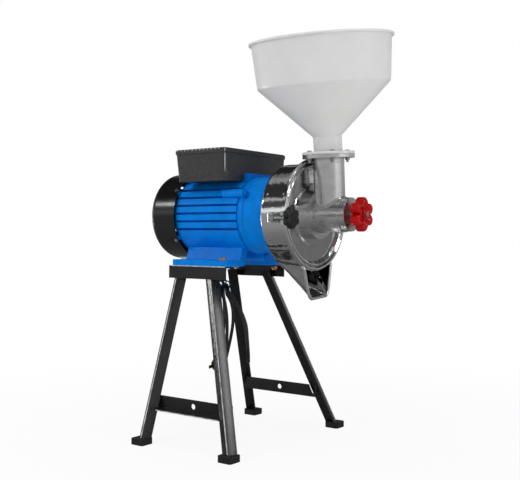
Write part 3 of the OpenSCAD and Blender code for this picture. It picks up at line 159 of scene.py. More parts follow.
def material(name, color, rough=0.4, metal=0.0, vary=0.1, scale=60, rough_vary=0.06, bump=0.0,
             bump_scale=500, coat=0.0, coat_rough=0.08, stretch=(1, 1, 1), spec=0.5, sub=0.0,
             cells=False, speck=0.0):
    """Noise varies the colour and the roughness, with bump, specks, a coat and scattering where given."""
    m = bpy.data.materials.new(name)
    m.use_nodes = True
    t = m.node_tree
    n, link = t.nodes, t.links
    b = n["Principled BSDF"]
    b.inputs["Metallic"].default_value = metal
    b.inputs["IOR"].default_value = PLASTIC_IOR
    b.inputs["Specular IOR Level"].default_value = spec
    b.inputs["Coat Weight"].default_value = coat
    b.inputs["Coat Roughness"].default_value = coat_rough
    if sub:
        b.inputs["Subsurface Weight"].default_value = sub
        b.inputs["Subsurface Radius"].default_value = SCATTER_RADIUS
        b.inputs["Subsurface Scale"].default_value = 1.0
    co = n.new("ShaderNodeTexCoord")
    mp = n.new("ShaderNodeMapping")
    mp.inputs["Scale"].default_value = stretch
    link.new(co.outputs["Object"], mp.inputs["Vector"])
    no = n.new("ShaderNodeTexNoise")
    no.inputs["Scale"].default_value = scale
    no.inputs["Detail"].default_value = 6
    no.inputs["Roughness"].default_value = 0.6
    link.new(mp.outputs["Vector"], no.inputs["Vector"])
    ramp = n.new("ShaderNodeValToRGB")
    lo = [max(0, c * (1 - vary)) for c in color]
    hi = [min(1, c * (1 + vary)) for c in color]
    ramp.color_ramp.elements[0].position = 0.3
    ramp.color_ramp.elements[0].color = (*lo, 1)
    ramp.color_ramp.elements[1].position = 0.7
    ramp.color_ramp.elements[1].color = (*hi, 1)
    link.new(no.outputs["Fac"], ramp.inputs["Fac"])
    out = ramp.outputs["Color"]
    if speck:
        sn = n.new("ShaderNodeTexNoise")
        sn.inputs["Scale"].default_value = scale * 9
        sn.inputs["Detail"].default_value = 3
        link.new(mp.outputs["Vector"], sn.inputs["Vector"])
        sr = n.new("ShaderNodeValToRGB")
        sr.color_ramp.elements[0].position = 0.66
        sr.color_ramp.elements[0].color = (0, 0, 0, 1)
        sr.color_ramp.elements[1].position = 0.74
        sr.color_ramp.elements[1].color = (speck, speck, speck, 1)
        link.new(sn.outputs["Fac"], sr.inputs["Fac"])
        mx = n.new("ShaderNodeMix")
        mx.data_type = "RGBA"
        mx.blend_type = "ADD"
        mx.inputs["Factor"].default_value = 1
        link.new(out, mx.inputs["A"])
        link.new(sr.outputs["Color"], mx.inputs["B"])
        out = mx.outputs["Result"]
    link.new(out, b.inputs["Base Color"])
    mr = n.new("ShaderNodeMapRange")
    mr.inputs["To Min"].default_value = max(0.02, rough - rough_vary)
    mr.inputs["To Max"].default_value = rough + rough_vary
    link.new(no.outputs["Fac"], mr.inputs["Value"])
    link.new(mr.outputs["Result"], b.inputs["Roughness"])
    if bump:
        if cells:
            bt = n.new("ShaderNodeTexVoronoi")
            bt.inputs["Scale"].default_value = bump_scale
            height = bt.outputs["Distance"]
        else:
            bt = n.new("ShaderNodeTexNoise")
            bt.inputs["Scale"].default_value = bump_scale
            bt.inputs["Detail"].default_value = 4
            height = bt.outputs["Fac"]
        link.new(mp.outputs["Vector"], bt.inputs["Vector"])
        bu = n.new("ShaderNodeBump")
        bu.inputs["Strength"].default_value = 1
        bu.inputs["Distance"].default_value = bump
        link.new(height, bu.inputs["Height"])
        link.new(bu.outputs["Normal"], b.inputs["Normal"])
        if coat:
            link.new(bu.outputs["Normal"], b.inputs["Coat Normal"])
    return m


M = {
    "black_paint": material("black_paint", (0.010, 0.010, 0.011), 0.24, vary=0.35, scale=25,
                            rough_vary=0.1, bump=0.00012, bump_scale=260, speck=0.02, spec=0.6),
    # Lighter, part metal bevel faces on the rails and straps: worn paint, and a painted highlight along
    # their edges
    "edge_wear_and_sheen": material("edge_wear_and_sheen", (0.16, 0.16, 0.16), 0.35, 0.6, vary=0.5, scale=120,
                          rough_vary=0.12, bump=0.0001, bump_scale=500),
    "foot_rubber": material("foot_rubber", (0.012, 0.012, 0.012), 0.6, vary=0.3, scale=90, bump=0.00015,
                            bump_scale=700),
    "plated_bolt": material("plated_bolt", (0.62, 0.36, 0.17), 0.32, 1, vary=0.3, scale=300,
                            bump=0.00005),
    "blue_enamel": material("blue_enamel", (0.001, 0.215, 0.74), 0.36, vary=0.12, scale=45,
                            rough_vary=0.08, bump=0.00035, bump_scale=130, coat=0.05,
                            coat_rough=0.12, spec=0.05),
    "core_steel": material("core_steel", (0.25, 0.25, 0.26), 0.45, 1, vary=0.2, scale=200,
                           stretch=(8, 1, 1)),
    "copper": material("copper", (0.55, 0.2, 0.08), 0.35, 1, vary=0.25, scale=500),
    "steel": material("steel", (0.55, 0.56, 0.57), 0.28, 1, vary=0.15, scale=200, bump=0.00004),
    "fan_plastic": material("fan_plastic", (0.03, 0.03, 0.035), 0.5, vary=0.2),
    "black_gloss": material("black_gloss", (0.004, 0.004, 0.005), 0.22, vary=0.3, scale=30,
                            rough_vary=0.05, bump=0.00008, bump_scale=160, coat=0.15, coat_rough=0.1),
    "box_plastic": material("box_plastic", (0.036, 0.036, 0.036), 0.45, vary=0.3, scale=130,
                            rough_vary=0.1, bump=0.0006, bump_scale=380, cells=True, speck=0.03),
    "dark_screw": material("dark_screw", (0.2, 0.2, 0.21), 0.4, 1, vary=0.2, scale=300),
    "capacitor_can": material("capacitor_can", (0.06, 0.065, 0.07), 0.4, vary=0.1),
    "switch_black": material("switch_black", (0.012, 0.012, 0.012), 0.35, vary=0.2),
    "switch_red": material("switch_red", (0.5, 0.015, 0.015), 0.3, vary=0.1, coat=0.3),
    "polished_steel": material("polished_steel", (0.74, 0.74, 0.75), 0.09, 1, vary=0.06, scale=30,
                               rough_vary=0.03, bump=0.0011, bump_scale=26),
    # A lighter, rougher copy of the polished steel for the spout's rolled lip: a painted highlight along the
    # lip
    "lip_highlight_steel": material("lip_highlight_steel", (0.92, 0.92, 0.92), 0.32, 1, vary=0.06, scale=40, rough_vary=0.05,
                          bump=0.0002, bump_scale=120),
    "cast_alloy": material("cast_alloy", (0.78, 0.78, 0.78), 0.3, 1, vary=0.08, scale=70,
                           rough_vary=0.08, bump=0.0003, bump_scale=90, stretch=(0.4, 1, 1)),
    # Light grey for thin lines along ridges, edges and the box's corner: painted highlights
    "painted_highlight": material("painted_highlight", (0.50, 0.50, 0.51), 0.35, vary=0.6, scale=90, rough_vary=0.1,
                          bump=0.0001, bump_scale=500),
    # Light grey for the lid's beads: painted glints on the dark box
    "bead_glint_grey": material("bead_glint_grey", (0.5, 0.5, 0.5), 0.4, vary=0.3, scale=160),
    "burr_iron": material("burr_iron", (0.28, 0.28, 0.29), 0.5, 1, vary=0.3, scale=120, bump=0.0002),
    "red_plastic": material("red_plastic", (0.43, 0.001, 0.002), 0.26, vary=0.12, scale=60,
                            rough_vary=0.05, bump=0.00025, bump_scale=120, coat=0.16,
                            coat_rough=0.08, spec=0.2),
    "knob_plastic": material("knob_plastic", (0.012, 0.012, 0.013), 0.38, vary=0.3, scale=160,
                             bump=0.00015),
    "hopper_plastic": material("hopper_plastic", (0.74, 0.74, 0.74), 0.33, vary=0.03, scale=18,
                               rough_vary=0.06, bump=0.0006, bump_scale=22, sub=0.35, spec=0.45),
    "cord_pvc": material("cord_pvc", (0.012, 0.012, 0.013), 0.42, vary=0.3, scale=200, bump=0.00008,
                         bump_scale=900),
    "tie_plastic": material("tie_plastic", (0.016, 0.016, 0.016), 0.4, vary=0.2),
    "plug_plastic": material("plug_plastic", (0.013, 0.013, 0.014), 0.4, vary=0.3, scale=200,
                             bump=0.0001),
    "plug_brass": material("plug_brass", (0.62, 0.47, 0.2), 0.28, 1, vary=0.15, scale=300),
}
M["blue_bolt"] = M["blue_enamel"]


ZINC = (0.8, 0.8, 0.78, 1)
BOLT_SPLIT_X = -0.114
SPLIT_BLEND = 0.01


def zinc_behind(x):
    """The foot bolts behind x are zinc plated, the others have a copper colour."""
    t = M["plated_bolt"].node_tree
    n, link = t.nodes, t.links
    co = n.new("ShaderNodeTexCoord")
    sp = n.new("ShaderNodeSeparateXYZ")
    link.new(co.outputs["Object"], sp.inputs[0])
    mr = n.new("ShaderNodeMapRange")
    mr.inputs["From Min"].default_value = x - SPLIT_BLEND
    mr.inputs["From Max"].default_value = x + SPLIT_BLEND
    link.new(sp.outputs["X"], mr.inputs["Value"])
    mx = n.new("ShaderNodeMix")
    mx.data_type = "RGBA"
    link.new(mr.outputs["Result"], mx.inputs["Factor"])
    mx.inputs["A"].default_value = ZINC
    color = n["Principled BSDF"].inputs["Base Color"]
    link.new(color.links[0].from_socket, mx.inputs["B"])
    link.new(mx.outputs["Result"], color)


zinc_behind(BOLT_SPLIT_X)

# Cord: the route's points are those of the source

def smooth_route(pts, n):
    out = []
    for i in range(len(pts) - 1):
        p, a, b, q = pts[max(i - 1, 0)], pts[i], pts[i + 1], pts[min(i + 2, len(pts) - 1)]
        for j in range(n):
            t = j / n
            out.append(0.5 * (2 * a + (b - p) * t + (2 * p - 5 * a + 4 * b - q) * t * t
                              + (3 * a - p - 3 * b + q) * t * t * t))
    return out + [pts[-1]]


CORD_R = 3.25
ROUTE = [
    (-146, 131, 542), (-146, 140, 542), (-147, 153, 538), (-150, 166, 525), (-158, 172, 495),
    (-170, 168, 455), (-182, 153, 410), (-188, 130, 366), (-188, 112, 349), (-188, 98, 345),
    (-188, 83, 346), (-188, 71, 345), (-186, 59, 338), (-173, 38, 324), (-152, 10, 314), (-131, -8, 310),
    (-114, -18, 301), (-102, -19, 286), (-91, -16, 269), (-78, -15, 255), (-66, -18, 240),
    (-57, -20, 221), (-54, -20, 197), (-52, -20, 175), (-46, -27, 160), (-37, -38, 156),
    (-29, -49, 161), (-25, -55, 177), (-27, -56, 200), (-31, -57, 224), (-38, -59, 247),
    (-46, -61, 264), (-54, -65, 279), (-62, -70, 292), (-69, -65, 301)]
# The hank's turn from the side view and its two level directions, the radius of its bends, its straight
# run, the loops and their pitch, the bulge of the first one, and how far the tail stands out behind
HANK_TURN = math.radians(36.5)
ACROSS = Vector((math.cos(HANK_TURN), math.sin(HANK_TURN), 0))
DEPTH = Vector((-math.sin(HANK_TURN), math.cos(HANK_TURN), 0))
BEND, RUN, LOOPS, PITCH, BULGE, TAIL_OUT = 21, 135, 3, 7, 16, 20
# Points in a loop; the tail is a third of a loop
LOOP_STEPS, TAIL_PARTS = 96, 3
MIDDLE = Vector((-87, -62, 216))


def on_hank(s):
    bend_len = math.pi * BEND / 2
    loop_len = 2 * RUN + 4 * bend_len
    d = (s - math.floor(s)) * loop_len
    if d < bend_len:
        q = (BEND * math.sin(d / BEND), RUN / 2 + BEND * math.cos(d / BEND))
    elif d < bend_len + RUN:
        q = (BEND, RUN / 2 - (d - bend_len))
    elif d < 3 * bend_len + RUN:
        a = (d - bend_len - RUN) / BEND
        q = (BEND * math.cos(a), -RUN / 2 - BEND * math.sin(a))
    elif d < 3 * bend_len + 2 * RUN:
        q = (-BEND, -RUN / 2 + (d - 3 * bend_len - RUN))
    else:
        a = (d - 3 * bend_len - 2 * RUN) / BEND
        q = (-BEND * math.cos(a), RUN / 2 + BEND * math.sin(a))
    share = max(0, min(1, 0.5 - q[1] / RUN))
    bulge = BULGE * max(0, 1 - s / 1.5) * math.sin(math.pi * share ** 0.7)
    tail = max(0, s - LOOPS) * TAIL_PARTS
    out = TAIL_OUT * tail * tail * (3 - 2 * tail)
    sideways = PITCH * (LOOPS / 2 - s) + bulge
    return MIDDLE + ACROSS * sideways + DEPTH * (q[0] + out) + Vector((0, 0, q[1]))


def mains_lead():
    last = LOOPS * LOOP_STEPS + LOOP_STEPS // TAIL_PARTS
    hank = [on_hank(i / LOOP_STEPS) for i in range(1, last + 1)]
    pts = smooth_route([Vector(p) for p in ROUTE], 8) + [on_hank(0)] + hank
    pts = [p * MM for p in pts]
    length = sum((b - a).length for a, b in zip(pts, pts[1:]))
    lead = curve("mains_lead", pts, CORD_R * MM, "machine", M["cord_pvc"], res=5)
    for n in ("power_cord", "cord_hank"):
        if n in NODES:
            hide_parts(n)
    return lead, pts, length


lead, lead_pts, lead_len = mains_lead()


def at_plug():
    """Turns and moves a point from the plug's own place to its place on the tail."""
    end = lead_pts[-1]
    tilt = math.radians(-9)
    turn = Matrix.Rotation(HANK_TURN, 4, "Z") @ Matrix.Rotation(tilt, 4, "Y")
    return Matrix.Translation(end) @ turn @ Matrix.Translation((0, 0, -26.7 * MM))


def ring_stack(bm, rows, close=True):
    """Rows of rings, each a list of points, joined into a skin."""
    last = None
    rings = []
    for row in rows:
        ring = [bm.verts.new(p) for p in row]
        rings.append(ring)
        if last:
            for i in range(len(ring) if close else len(ring) - 1):
                j = (i + 1) % len(ring)
                bm.faces.new((last[i], last[j], ring[j], ring[i]))
        last = ring
    return rings


def mains_plug():
    place = at_plug()
    bm = bmesh.new()
    rows = []
    prof = [(3.3, 26), (3.9, 25.6)]
    for k in range(7):
        z = 24 - k * 3.2
        r = 4.1 + 1.9 * (k / 6)
        prof += [(r, z), (r, z - 1.5), (r - 0.7, z - 1.8), (r - 0.7, z - 2.9)]
    prof += [(6.2, 1.5), (6.6, -2)]
    for r, z in prof:
        rows.append([place @ (Vector((r * math.cos(a), r * math.sin(a), z)) * MM)
                     for a in around(28)])
    rings = ring_stack(bm, rows)
    bm.faces.new(rings[0])
    bm.faces.new(list(reversed(rings[-1])))
    # body: a rounded disc about a lying axis
    lie = Matrix.Rotation(math.radians(152), 4, "Z") @ Matrix.Rotation(math.radians(-90), 4, "X")
    body = place @ Matrix.Translation((0, 0, -14 * MM)) @ lie
    rows = []
    t = 7
    prof = [(0.5, -t), (9, -t), (11.6, -t + 0.5), (13.2, -t + 2), (14, -t + 4.2), (14, t - 3),
            (13.4, t - 1), (12.3, t), (11.6, t + 1.4), (10.6, t + 2), (9, t + 2), (8.6, t + 1.5),
            (0.5, t + 1.5)]
    for r, z in prof:
        rows.append([body @ (Vector((r * math.cos(a), r * math.sin(a), z)) * MM)
                     for a in around(48)])
    rings = ring_stack(bm, rows)
    bm.faces.new(list(reversed(rings[0])))
    bm.faces.new(rings[-1])
    bmesh.ops.recalc_face_normals(bm, faces=bm.faces)
    ob = put("moulded_plug", finish_mesh(bm, "moulded_plug"), body="machine",
             mat=M["plug_plastic"], stands_for=["mains_plug"])
    modifier(ob, "BEVEL", width=0.0004, segments=2, limit_method="ANGLE", angle_limit=math.radians(40))
    return ob


plug = mains_plug()
TIE = [(-64, -97, 302), (-65, -95, 305), (-67, -93, 307), (-71, -91, 308), (-75, -89, 309), (-77, -80, 312),
       (-76, -65, 313), (-74, -54, 310), (-74, -52, 302), (-77, -53, 296), (-84, -58, 294), (-93, -65, 295),
       (-99, -71, 301), (-100, -71, 308), (-95, -69, 313), (-84, -66, 316), (-70, -71, 316), (-60, -81, 311),
       (-61, -90, 306), (-63, -96, 304)]
tie = curve("hank_tie", [p * MM for p in smooth_route([Vector(p) for p in TIE], 6)], 1.3 * MM, "machine",
            M["tie_plastic"], res=3)
if "cord_tie" in NODES:
    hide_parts("cord_tie")

# Finish of the CAD nodes

EDGE_STEPS = 2
EDGE_ANGLE = 30
# Share of the source's foot height that the scene shows
FOOT_SHARE = 0.75


def soften(node, width, slot, edge=None):
    """A copy of a CAD node with its sharp edges rounded off, as paint and casting leave them."""
    bm = bmesh.new()
    bm.from_mesh(NODES[node].data)
    bmesh.ops.remove_doubles(bm, verts=bm.verts, dist=2e-6)
    bmesh.ops.dissolve_limit(bm, angle_limit=math.radians(0.6), verts=bm.verts, edges=bm.edges)
    clean = bmesh.new()
    index = {v: clean.verts.new(v.co) for v in bm.verts}
    for f in bm.faces:
        clean.faces.new([index[v] for v in f.verts])
    bm.free()
    me = finish_mesh(clean, node + "_finished", EDGE_ANGLE)
    ob = put(node + "_finished", me, node=node, mat=M[slot], stands_for=[node])
    # Where an edge material is given, the bevel faces take it: wear, and a painted highlight along the edges
    if edge:
        me.materials.append(M[edge])
    modifier(ob, "BEVEL", width=width * MM, segments=EDGE_STEPS, limit_method="ANGLE",
             angle_limit=math.radians(EDGE_ANGLE), harden_normals=True, material=1 if edge else -1)
    return ob


def paint(node, slot):
    ob = NODES[node]
    ob.data.materials.clear()
    ob.data.materials.append(M[slot])


SLOTS = {p["node"]: p["material_slot"] for p in frame["record"]["subparts"]}
SLOTS["shaft_seal"] = "foot_rubber"
# The rails and straps take the lighter edge material on their bevels: worn paint and a painted highlight
# along the edges
SOFT = {
    "near_top_rail": (0.9, "edge_wear_and_sheen"), "far_top_rail": (0.9, "edge_wear_and_sheen"),
    "near_cross_strap": (0.8, "edge_wear_and_sheen"), "far_cross_strap": (0.8, "edge_wear_and_sheen"),
    "rubber_feet": (1.6, None), "motor_housing": (2.4, None),
    "front_end_shield": (1.2, None), "box_base": (1.0, None), "box_lid": (1.2, None),
    "near_bolt_bracket": (0.4, None), "far_bolt_bracket": (0.4, None), "switch_bezel": (0.5, None),
    "foot_bolts": (0.4, None), "hopper_bolts": (0.4, None), "shield_bolts": (0.5, None),
}
OWN = {"near_front_leg", "near_rear_leg", "far_front_leg", "far_rear_leg", "grinding_bowl", "hopper",
       "handwheel", "near_star_knob", "far_star_knob", "power_cord", "cord_hank", "cord_tie", "mains_plug"}
for name in NODES:
    if name in OWN:
        continue
    if name in SOFT:
        width, edge = SOFT[name]
        made = soften(name, width, SLOTS[name], edge=edge)
        if name == "rubber_feet":
            for v in made.data.vertices:
                v.co.z *= FOOT_SHARE
    else:
        paint(name, SLOTS[name])

# Grinding bowl with its spout, pressed from polished sheet

# Places along the shaft of the drum's back, the rim and the clamp bar, the drum's radius, the radius
# of its back corner, and the thickness of the sheet in metres
BOWL_X, RIM_X, BAR_X, BOWL_R, DRUM_CORNER = 30.75, 87.75, 93.75, 97.0, 5
SHEET = 0.002
# Spout as (half width, depth under the axis) at the drum and at the mouth: the corner where the bottom
# meets a side, and the side's upper end
SPOUT_BOTTOM = ((56, 82), (32, 158))
SPOUT_TOP = ((56, 78), (45, 106.5))
# Rounding of the spout's corners at the drum and what it gains by the mouth, the hollow in its sides and
# the blend into the drum; the widest angle that the spout takes, in radians, and the angles in degrees
# where the mouth ends and over which it runs out into the rim
CORNER_ROUND, CORNER_GAIN, SIDE_HOLLOW, DRUM_BLEND = 4, 17, 5, 18
SPOUT_SPREAD, MOUTH_SPREAD, MOUTH_BLEND = 1.1, 25.5, 2
FAR_OUT = 1e3


def between(ends, t):
    """The point at the share t of the way between two."""
    (y0, z0), (y1, z1) = ends
    return y0 + (y1 - y0) * t, z0 + (z1 - z0) * t


def spout_radius(phi, t):
    """Distance from the shaft's axis to the spout's wall.

    phi is the angle from straight down, and t the share of the spout's length.
    """
    yb, zb = between(SPOUT_BOTTOM, t)
    yu, zu = between(SPOUT_TOP, t)
    a = abs(phi)
    bottom = zb / max(0.2, math.cos(a))
    dy, dz = yu - yb, zb - zu
    n = math.hypot(dy, dz)
    ny, nz = dz / n, -dy / n
    d = yb * ny + zb * -nz
    c = math.sin(a) * ny - math.cos(a) * nz
    side = d / c if c > 0.05 else FAR_OUT
    k = CORNER_GAIN * t + CORNER_ROUND
    h = max(0, k - abs(bottom - side)) / k
    return min(bottom, side) - h * h * k / 4 - SIDE_HOLLOW * math.sin(math.pi * min(1, t)) * h


def bowl_radius(phi, t):
    s = spout_radius(phi, t) if abs(phi) < SPOUT_SPREAD else 0
    h = max(0, DRUM_BLEND - abs(BOWL_R - s)) / DRUM_BLEND
    return max(BOWL_R, s) + h * h * DRUM_BLEND / 4


def bowl_end(phi):
    a = min(1, max(0, (math.degrees(abs(phi)) - MOUTH_SPREAD) / MOUTH_BLEND))
    return BAR_X + (RIM_X - BAR_X) * a * a * (3 - 2 * a)


def bowl_point(phi, r, x):
    return head((x, r * math.sin(phi), -r * math.cos(phi))) * MM


def grinding_bowl():
    bm = bmesh.new()
    phis = []
    a = -180.0
    while a < 180:
        phis.append(math.radians(a))
        a += 0.75 if abs(a) < 40 else 2.5
    rows = []
    for r in (17, 40, 70, 88, 92):
        rows.append([bowl_point(p, r, BOWL_X) for p in phis])
    for k in range(1, 6):
        q = math.radians(k * 18)
        r = BOWL_R - DRUM_CORNER + DRUM_CORNER * math.sin(q)
        x = BOWL_X + DRUM_CORNER - DRUM_CORNER * math.cos(q)
        rows.append([bowl_point(p, r, x) for p in phis])
    for k in range(1, 31):
        row = []
        for p in phis:
            t = k / 30
            x = BOWL_X + DRUM_CORNER + t * (bowl_end(p) - BOWL_X - DRUM_CORNER)
            share = max(0, (x - BOWL_X - 2) / (BAR_X - BOWL_X - 4))
            row.append(bowl_point(p, bowl_radius(p, min(1, share)), x))
        rows.append(row)
    ring_stack(bm, rows)
    bmesh.ops.recalc_face_normals(bm, faces=bm.faces)
    ob = put("bowl_pressing", finish_mesh(bm, "bowl_pressing", 50), node="grinding_bowl",
             mat=M["polished_steel"], stands_for=["grinding_bowl"])
    modifier(ob, "SOLIDIFY", thickness=SHEET, offset=-1)
    lip = []
    for i in range(-36, 37):
        p = math.radians(i * 27 / 36)
        lip.append(bowl_point(p, bowl_radius(p, 1) - 1.0, bowl_end(p) - 1.6))
    # The rolled lip, in the lighter steel that paints its bright line
    edge = curve("spout_lip", lip, 0.0030, "machine", M["lip_highlight_steel"])
    ring = []
    for i in range(0, 121):
        p = math.radians(29 + i * (360 - 58) / 120)
        ring.append(bowl_point(p, 102.3, RIM_X - 1.2))
    flange = curve("rim_flange", ring, 0.0012, "machine", M["polished_steel"])
    bm = bmesh.new()
    rows = [[bowl_point(math.radians(28 + i * 304 / 150), r, RIM_X - x) for i in range(151)]
            for r, x in ((96, 2), (103, 2), (103.5, 1.2), (103.5, 0.6), (103, 0.1), (96, 0.1))]
    ring_stack(bm, rows, close=False)
    put("bowl_flange", finish_mesh(bm, "bowl_flange"), body="machine",
        mat=M["polished_steel"])
    bm = bmesh.new()
    for x, deg in ((44, -26), (80, -26), (44, -70), (80, -70), (44, 26), (80, 26)):
        q = math.radians(deg)
        base = Vector((x, -BOWL_R * math.cos(q), BOWL_R * math.sin(q)))
        out = Vector((0, -math.cos(q), math.sin(q)))
        u, w = Vector((1, 0, 0)), Vector((1, 0, 0)).cross(out)
        rings = [[head(base + (u * math.cos(b) + w * math.sin(b)) * r + out * h) * MM
                  for b in around(16)]
                 for r, h in ((2.2, -0.5), (2.1, 0.2), (1.6, 0.5), (0.8, 0.65))]
        made = ring_stack(bm, rings)
        bm.faces.new(made[-1])
    bmesh.ops.recalc_face_normals(bm, faces=bm.faces)
    put("spot_welds", finish_mesh(bm, "spot_welds"), body="machine",
        mat=M["steel"])


grinding_bowl()

# Feed casting's blends and welds

# Places and radii of the throat and the barrel; the hopper's seat over the axis and its lean
THROAT_X, THROAT_R, BARREL_R, HOPPER_SEAT = 123.75, 29.6, 31.9, 112
HOPPER_LEAN = math.radians(4)
WELD_X, WELD_R, WELD_SIZE, WELD_STEPS = 106.6, 32, 2.0, 150


def feed_details():
    pts = []
    for a in around(96):
        y = THROAT_R * math.sin(a)
        z = math.sqrt(max(0, BARREL_R ** 2 - y * y))
        pts.append(head((THROAT_X + THROAT_R * math.cos(a), y, z)) * MM)
    fillet = curve("throat_fillet", pts, 0.0026, "machine", M["cast_alloy"], closed=True)
    bm = bmesh.new()
    rows = []
    for b in around(10):
        row = []
        for a in around(WELD_STEPS):
            lump = 1 + 0.3 * math.sin(a * 37) * math.sin(a * 11 + 1) + 0.18 * math.sin(a * 61 + 2)
            r = WELD_R + WELD_SIZE * lump * math.cos(b)
            x = WELD_X + WELD_SIZE * lump * math.sin(b)
            row.append(head((x, r * math.sin(a), r * math.cos(a))) * MM)
        rows.append(row)
    rows.append(rows[0])
    ring_stack(bm, rows)
    bmesh.ops.remove_doubles(bm, verts=bm.verts, dist=1e-6)
    bmesh.ops.recalc_face_normals(bm, faces=bm.faces)
    put("weld_bead", finish_mesh(bm, "weld_bead", 60), body="machine", mat=M["steel"])


feed_details()

# Handwheel and star knobs

LOBES = 6
LOBE_STEPS = 180


def lobed(name, node, centre, r_out, r_in, faces, mat, power, turn=False):
    """A moulded knob with rounded lobes on an axis along X.

    faces lists (share of the radius, x, share of the lobes' wave) from back to front.
    """
    bm = bmesh.new()
    rows = []
    for share, x, mix in faces:
        row = []
        for a in around(LOBE_STEPS):
            wave = abs(math.cos(LOBES * a / 2)) ** power
            full = r_in + (r_out - r_in) * wave
            r = share * (full * mix + r_in * (1 - mix))
            y, z = r * math.sin(a), -r * math.cos(a)
            if turn:
                row.append(head((centre[0] + x, centre[1] + y, centre[2] + z)) * MM)
            else:
                row.append(Vector((centre[0] + x, centre[1] + y, centre[2] + z + AXIS_Z)) * MM)
        rows.append(row)
    rings = ring_stack(bm, rows)
    bm.faces.new(list(reversed(rings[0])))
    bm.faces.new(rings[-1])
    bmesh.ops.recalc_face_normals(bm, faces=bm.faces)
    return put(name, finish_mesh(bm, name, 60), node=node, mat=mat, stands_for=[node])


WHEEL = [(0.30, 5, 0), (0.50, 5.02, 0.6), (0.88, 5.05, 1), (0.95, 5.4, 1), (0.985, 6.4, 1), (1.0, 8, 1),
         (1.0, 17.5, 1), (0.985, 19.8, 1), (0.95, 21.6, 1), (0.88, 22.9, 1), (0.78, 23.2, 1),
         (0.68, 22.0, 1), (0.58, 18.8, 0.9), (0.52, 17.4, 0.6), (0.46, 17.2, 0.3), (0.42, 18.2, 0),
         (0.40, 21.6, 0),
         (0.37, 23.2, 0), (0.31, 23.9, 0), (0.24, 23.6, 0), (0.20, 21.8, 0)]


def knob_faces(x0, boss_r, r, t):
    return [(boss_r / r * 0.8, 0.2, 0), (boss_r / r, 0.6, 0), (boss_r / r, x0 - 0.4, 0), (0.84, x0, 1),
            (0.95, x0 + 1, 1), (1, x0 + 3, 1), (1, x0 + t - 3, 1), (0.95, x0 + t - 1, 1),
            (0.86, x0 + t - 0.2, 1), (0.6, x0 + t + 0.1, 0.7), (0.3, x0 + t, 0)]


lobed("handwheel_moulding", "handwheel", (176.75, 0, 0), 31.6, 19, WHEEL, M["red_plastic"],
      power=0.8)
for side, sgn in (("near", -1), ("far", 1)):
    lobed(side + "_star_moulding", side + "_star_knob", (104.65, sgn * 116, 0), 20, 15.2,
          knob_faces(3, 9, 20, 13), M["knob_plastic"], power=0.9, turn=True)

# Hopper, turned from its profile with soft corners

def rounded(profile, n=6):
    """A profile of (radius, height, rounding) with its corners rounded off."""
    out = []
    for i, (r, z, f) in enumerate(profile):
        if not f or i in (0, len(profile) - 1):
            out.append((r, z))
            continue
        p, a, b = (Vector(profile[k][:2]) for k in (i, i - 1, i + 1))
        u, w = (a - p), (b - p)
        lu, lw = u.length, w.length
        u.normalize()
        w.normalize()
        cut = min(f, 0.49 * lu, 0.49 * lw)
        for k in range(n + 1):
            t = k / n
            q = (p + u * cut) * (1 - t) ** 2 + p * 2 * t * (1 - t) + (p + w * cut) * t * t
            out.append((q.x, q.y))
    return out


def hopper():
    prof = rounded([
        (26.7, 0.5, 0), (26.7, 34, 2.5), (123, 127, 3), (127.6, 190, 4), (128.8, 206.5, 1.5),
        (133.5, 206.5, 1.2), (133.5, 211, 1.6), (126, 211, 1.5), (120, 127, 3), (23.7, 37, 2.5),
        (23.7, 0.5, 0)], 8)
    fine = []
    for (r0, z0), (r1, z1) in zip(prof, prof[1:]):
        steps = max(1, int(math.hypot(r1 - r0, z1 - z0) / 12))
        fine += [(r0 + (r1 - r0) * k / steps, z0 + (z1 - z0) * k / steps) for k in range(steps)]
    fine.append(prof[-1])
    c, s = math.cos(HOPPER_LEAN), math.sin(HOPPER_LEAN)
    bm = bmesh.new()
    rows = []
    for r, h in fine:
        row = []
        for a in around(128):
            x, y = r * math.cos(a), r * math.sin(a)
            y, z = y * c - h * s, y * s + h * c
            row.append(head((THROAT_X + x, y, z + HOPPER_SEAT)) * MM)
        rows.append(row)
    ring_stack(bm, rows)
    flange = rounded([(23.5, 0.1, 0), (48.8, 0.1, 0.8), (48.8, 5, 1.4), (23.5, 5, 0)], 4)
    rows = [[head((THROAT_X + r * math.cos(a), r * math.sin(a), h + HOPPER_SEAT)) * MM
             for a in around(96)] for r, h in flange]
    ring_stack(bm, rows)
    bmesh.ops.recalc_face_normals(bm, faces=bm.faces)
    put("hopper_moulding", finish_mesh(bm, "hopper_moulding", 50), node="hopper",
        mat=M["hopper_plastic"], stands_for=["hopper"])


hopper()

# Small moulded beads in a row under the top edge of the box lid's near face, in light grey as painted glints

def lid_beads():
    bm = bmesh.new()
    for i in range(12):
        x = -168 + i * 9.6
        rings = [[Vector((x + 1.5 * r * math.cos(b), -102 - h, 566.6 + 1.1 * r * math.sin(b))) * MM
                  for b in around(12)]
                 for r, h in ((1, -0.4), (1, 0.2), (0.75, 0.6), (0.4, 0.8))]
        made = ring_stack(bm, rings)
        bm.faces.new(made[-1])
    bmesh.ops.recalc_face_normals(bm, faces=bm.faces)
    put("lid_beads", finish_mesh(bm, "lid_beads", 60), node="box_lid",
        mat=M["bead_glint_grey"])


lid_beads()

# Angle iron: painted highlights along the ridges, and the legs' flanges slightly crowned as rolled

def edge_line(name, pts, r, node, mat):
    ob = curve(name, [Vector(q) * MM for q in pts], r * MM, BODY[node], M[mat])


LEG_WIDTH, LEG_WALL, CROWN = 20, 3, 0.55
# Heights of the leg's lower end, the rails' underside, the leg's own top, and where the fitted line ends
LEG_LOW, RAIL_LOW, LEG_HIGH, LEG_AXIS_TOP = 6, 316, 328.6, 329
# How far out a leg reaches where it stands inside the rail
INSIDE_RAIL_Y = -97.7
# Each leg as (name, place at the top, place on the floor, turn about its length), on the near side
LEGS = [("front", (-81.25, -95), (31.75, -186), 18), ("rear", (-172.25, -95), (-185.25, -186), 6)]


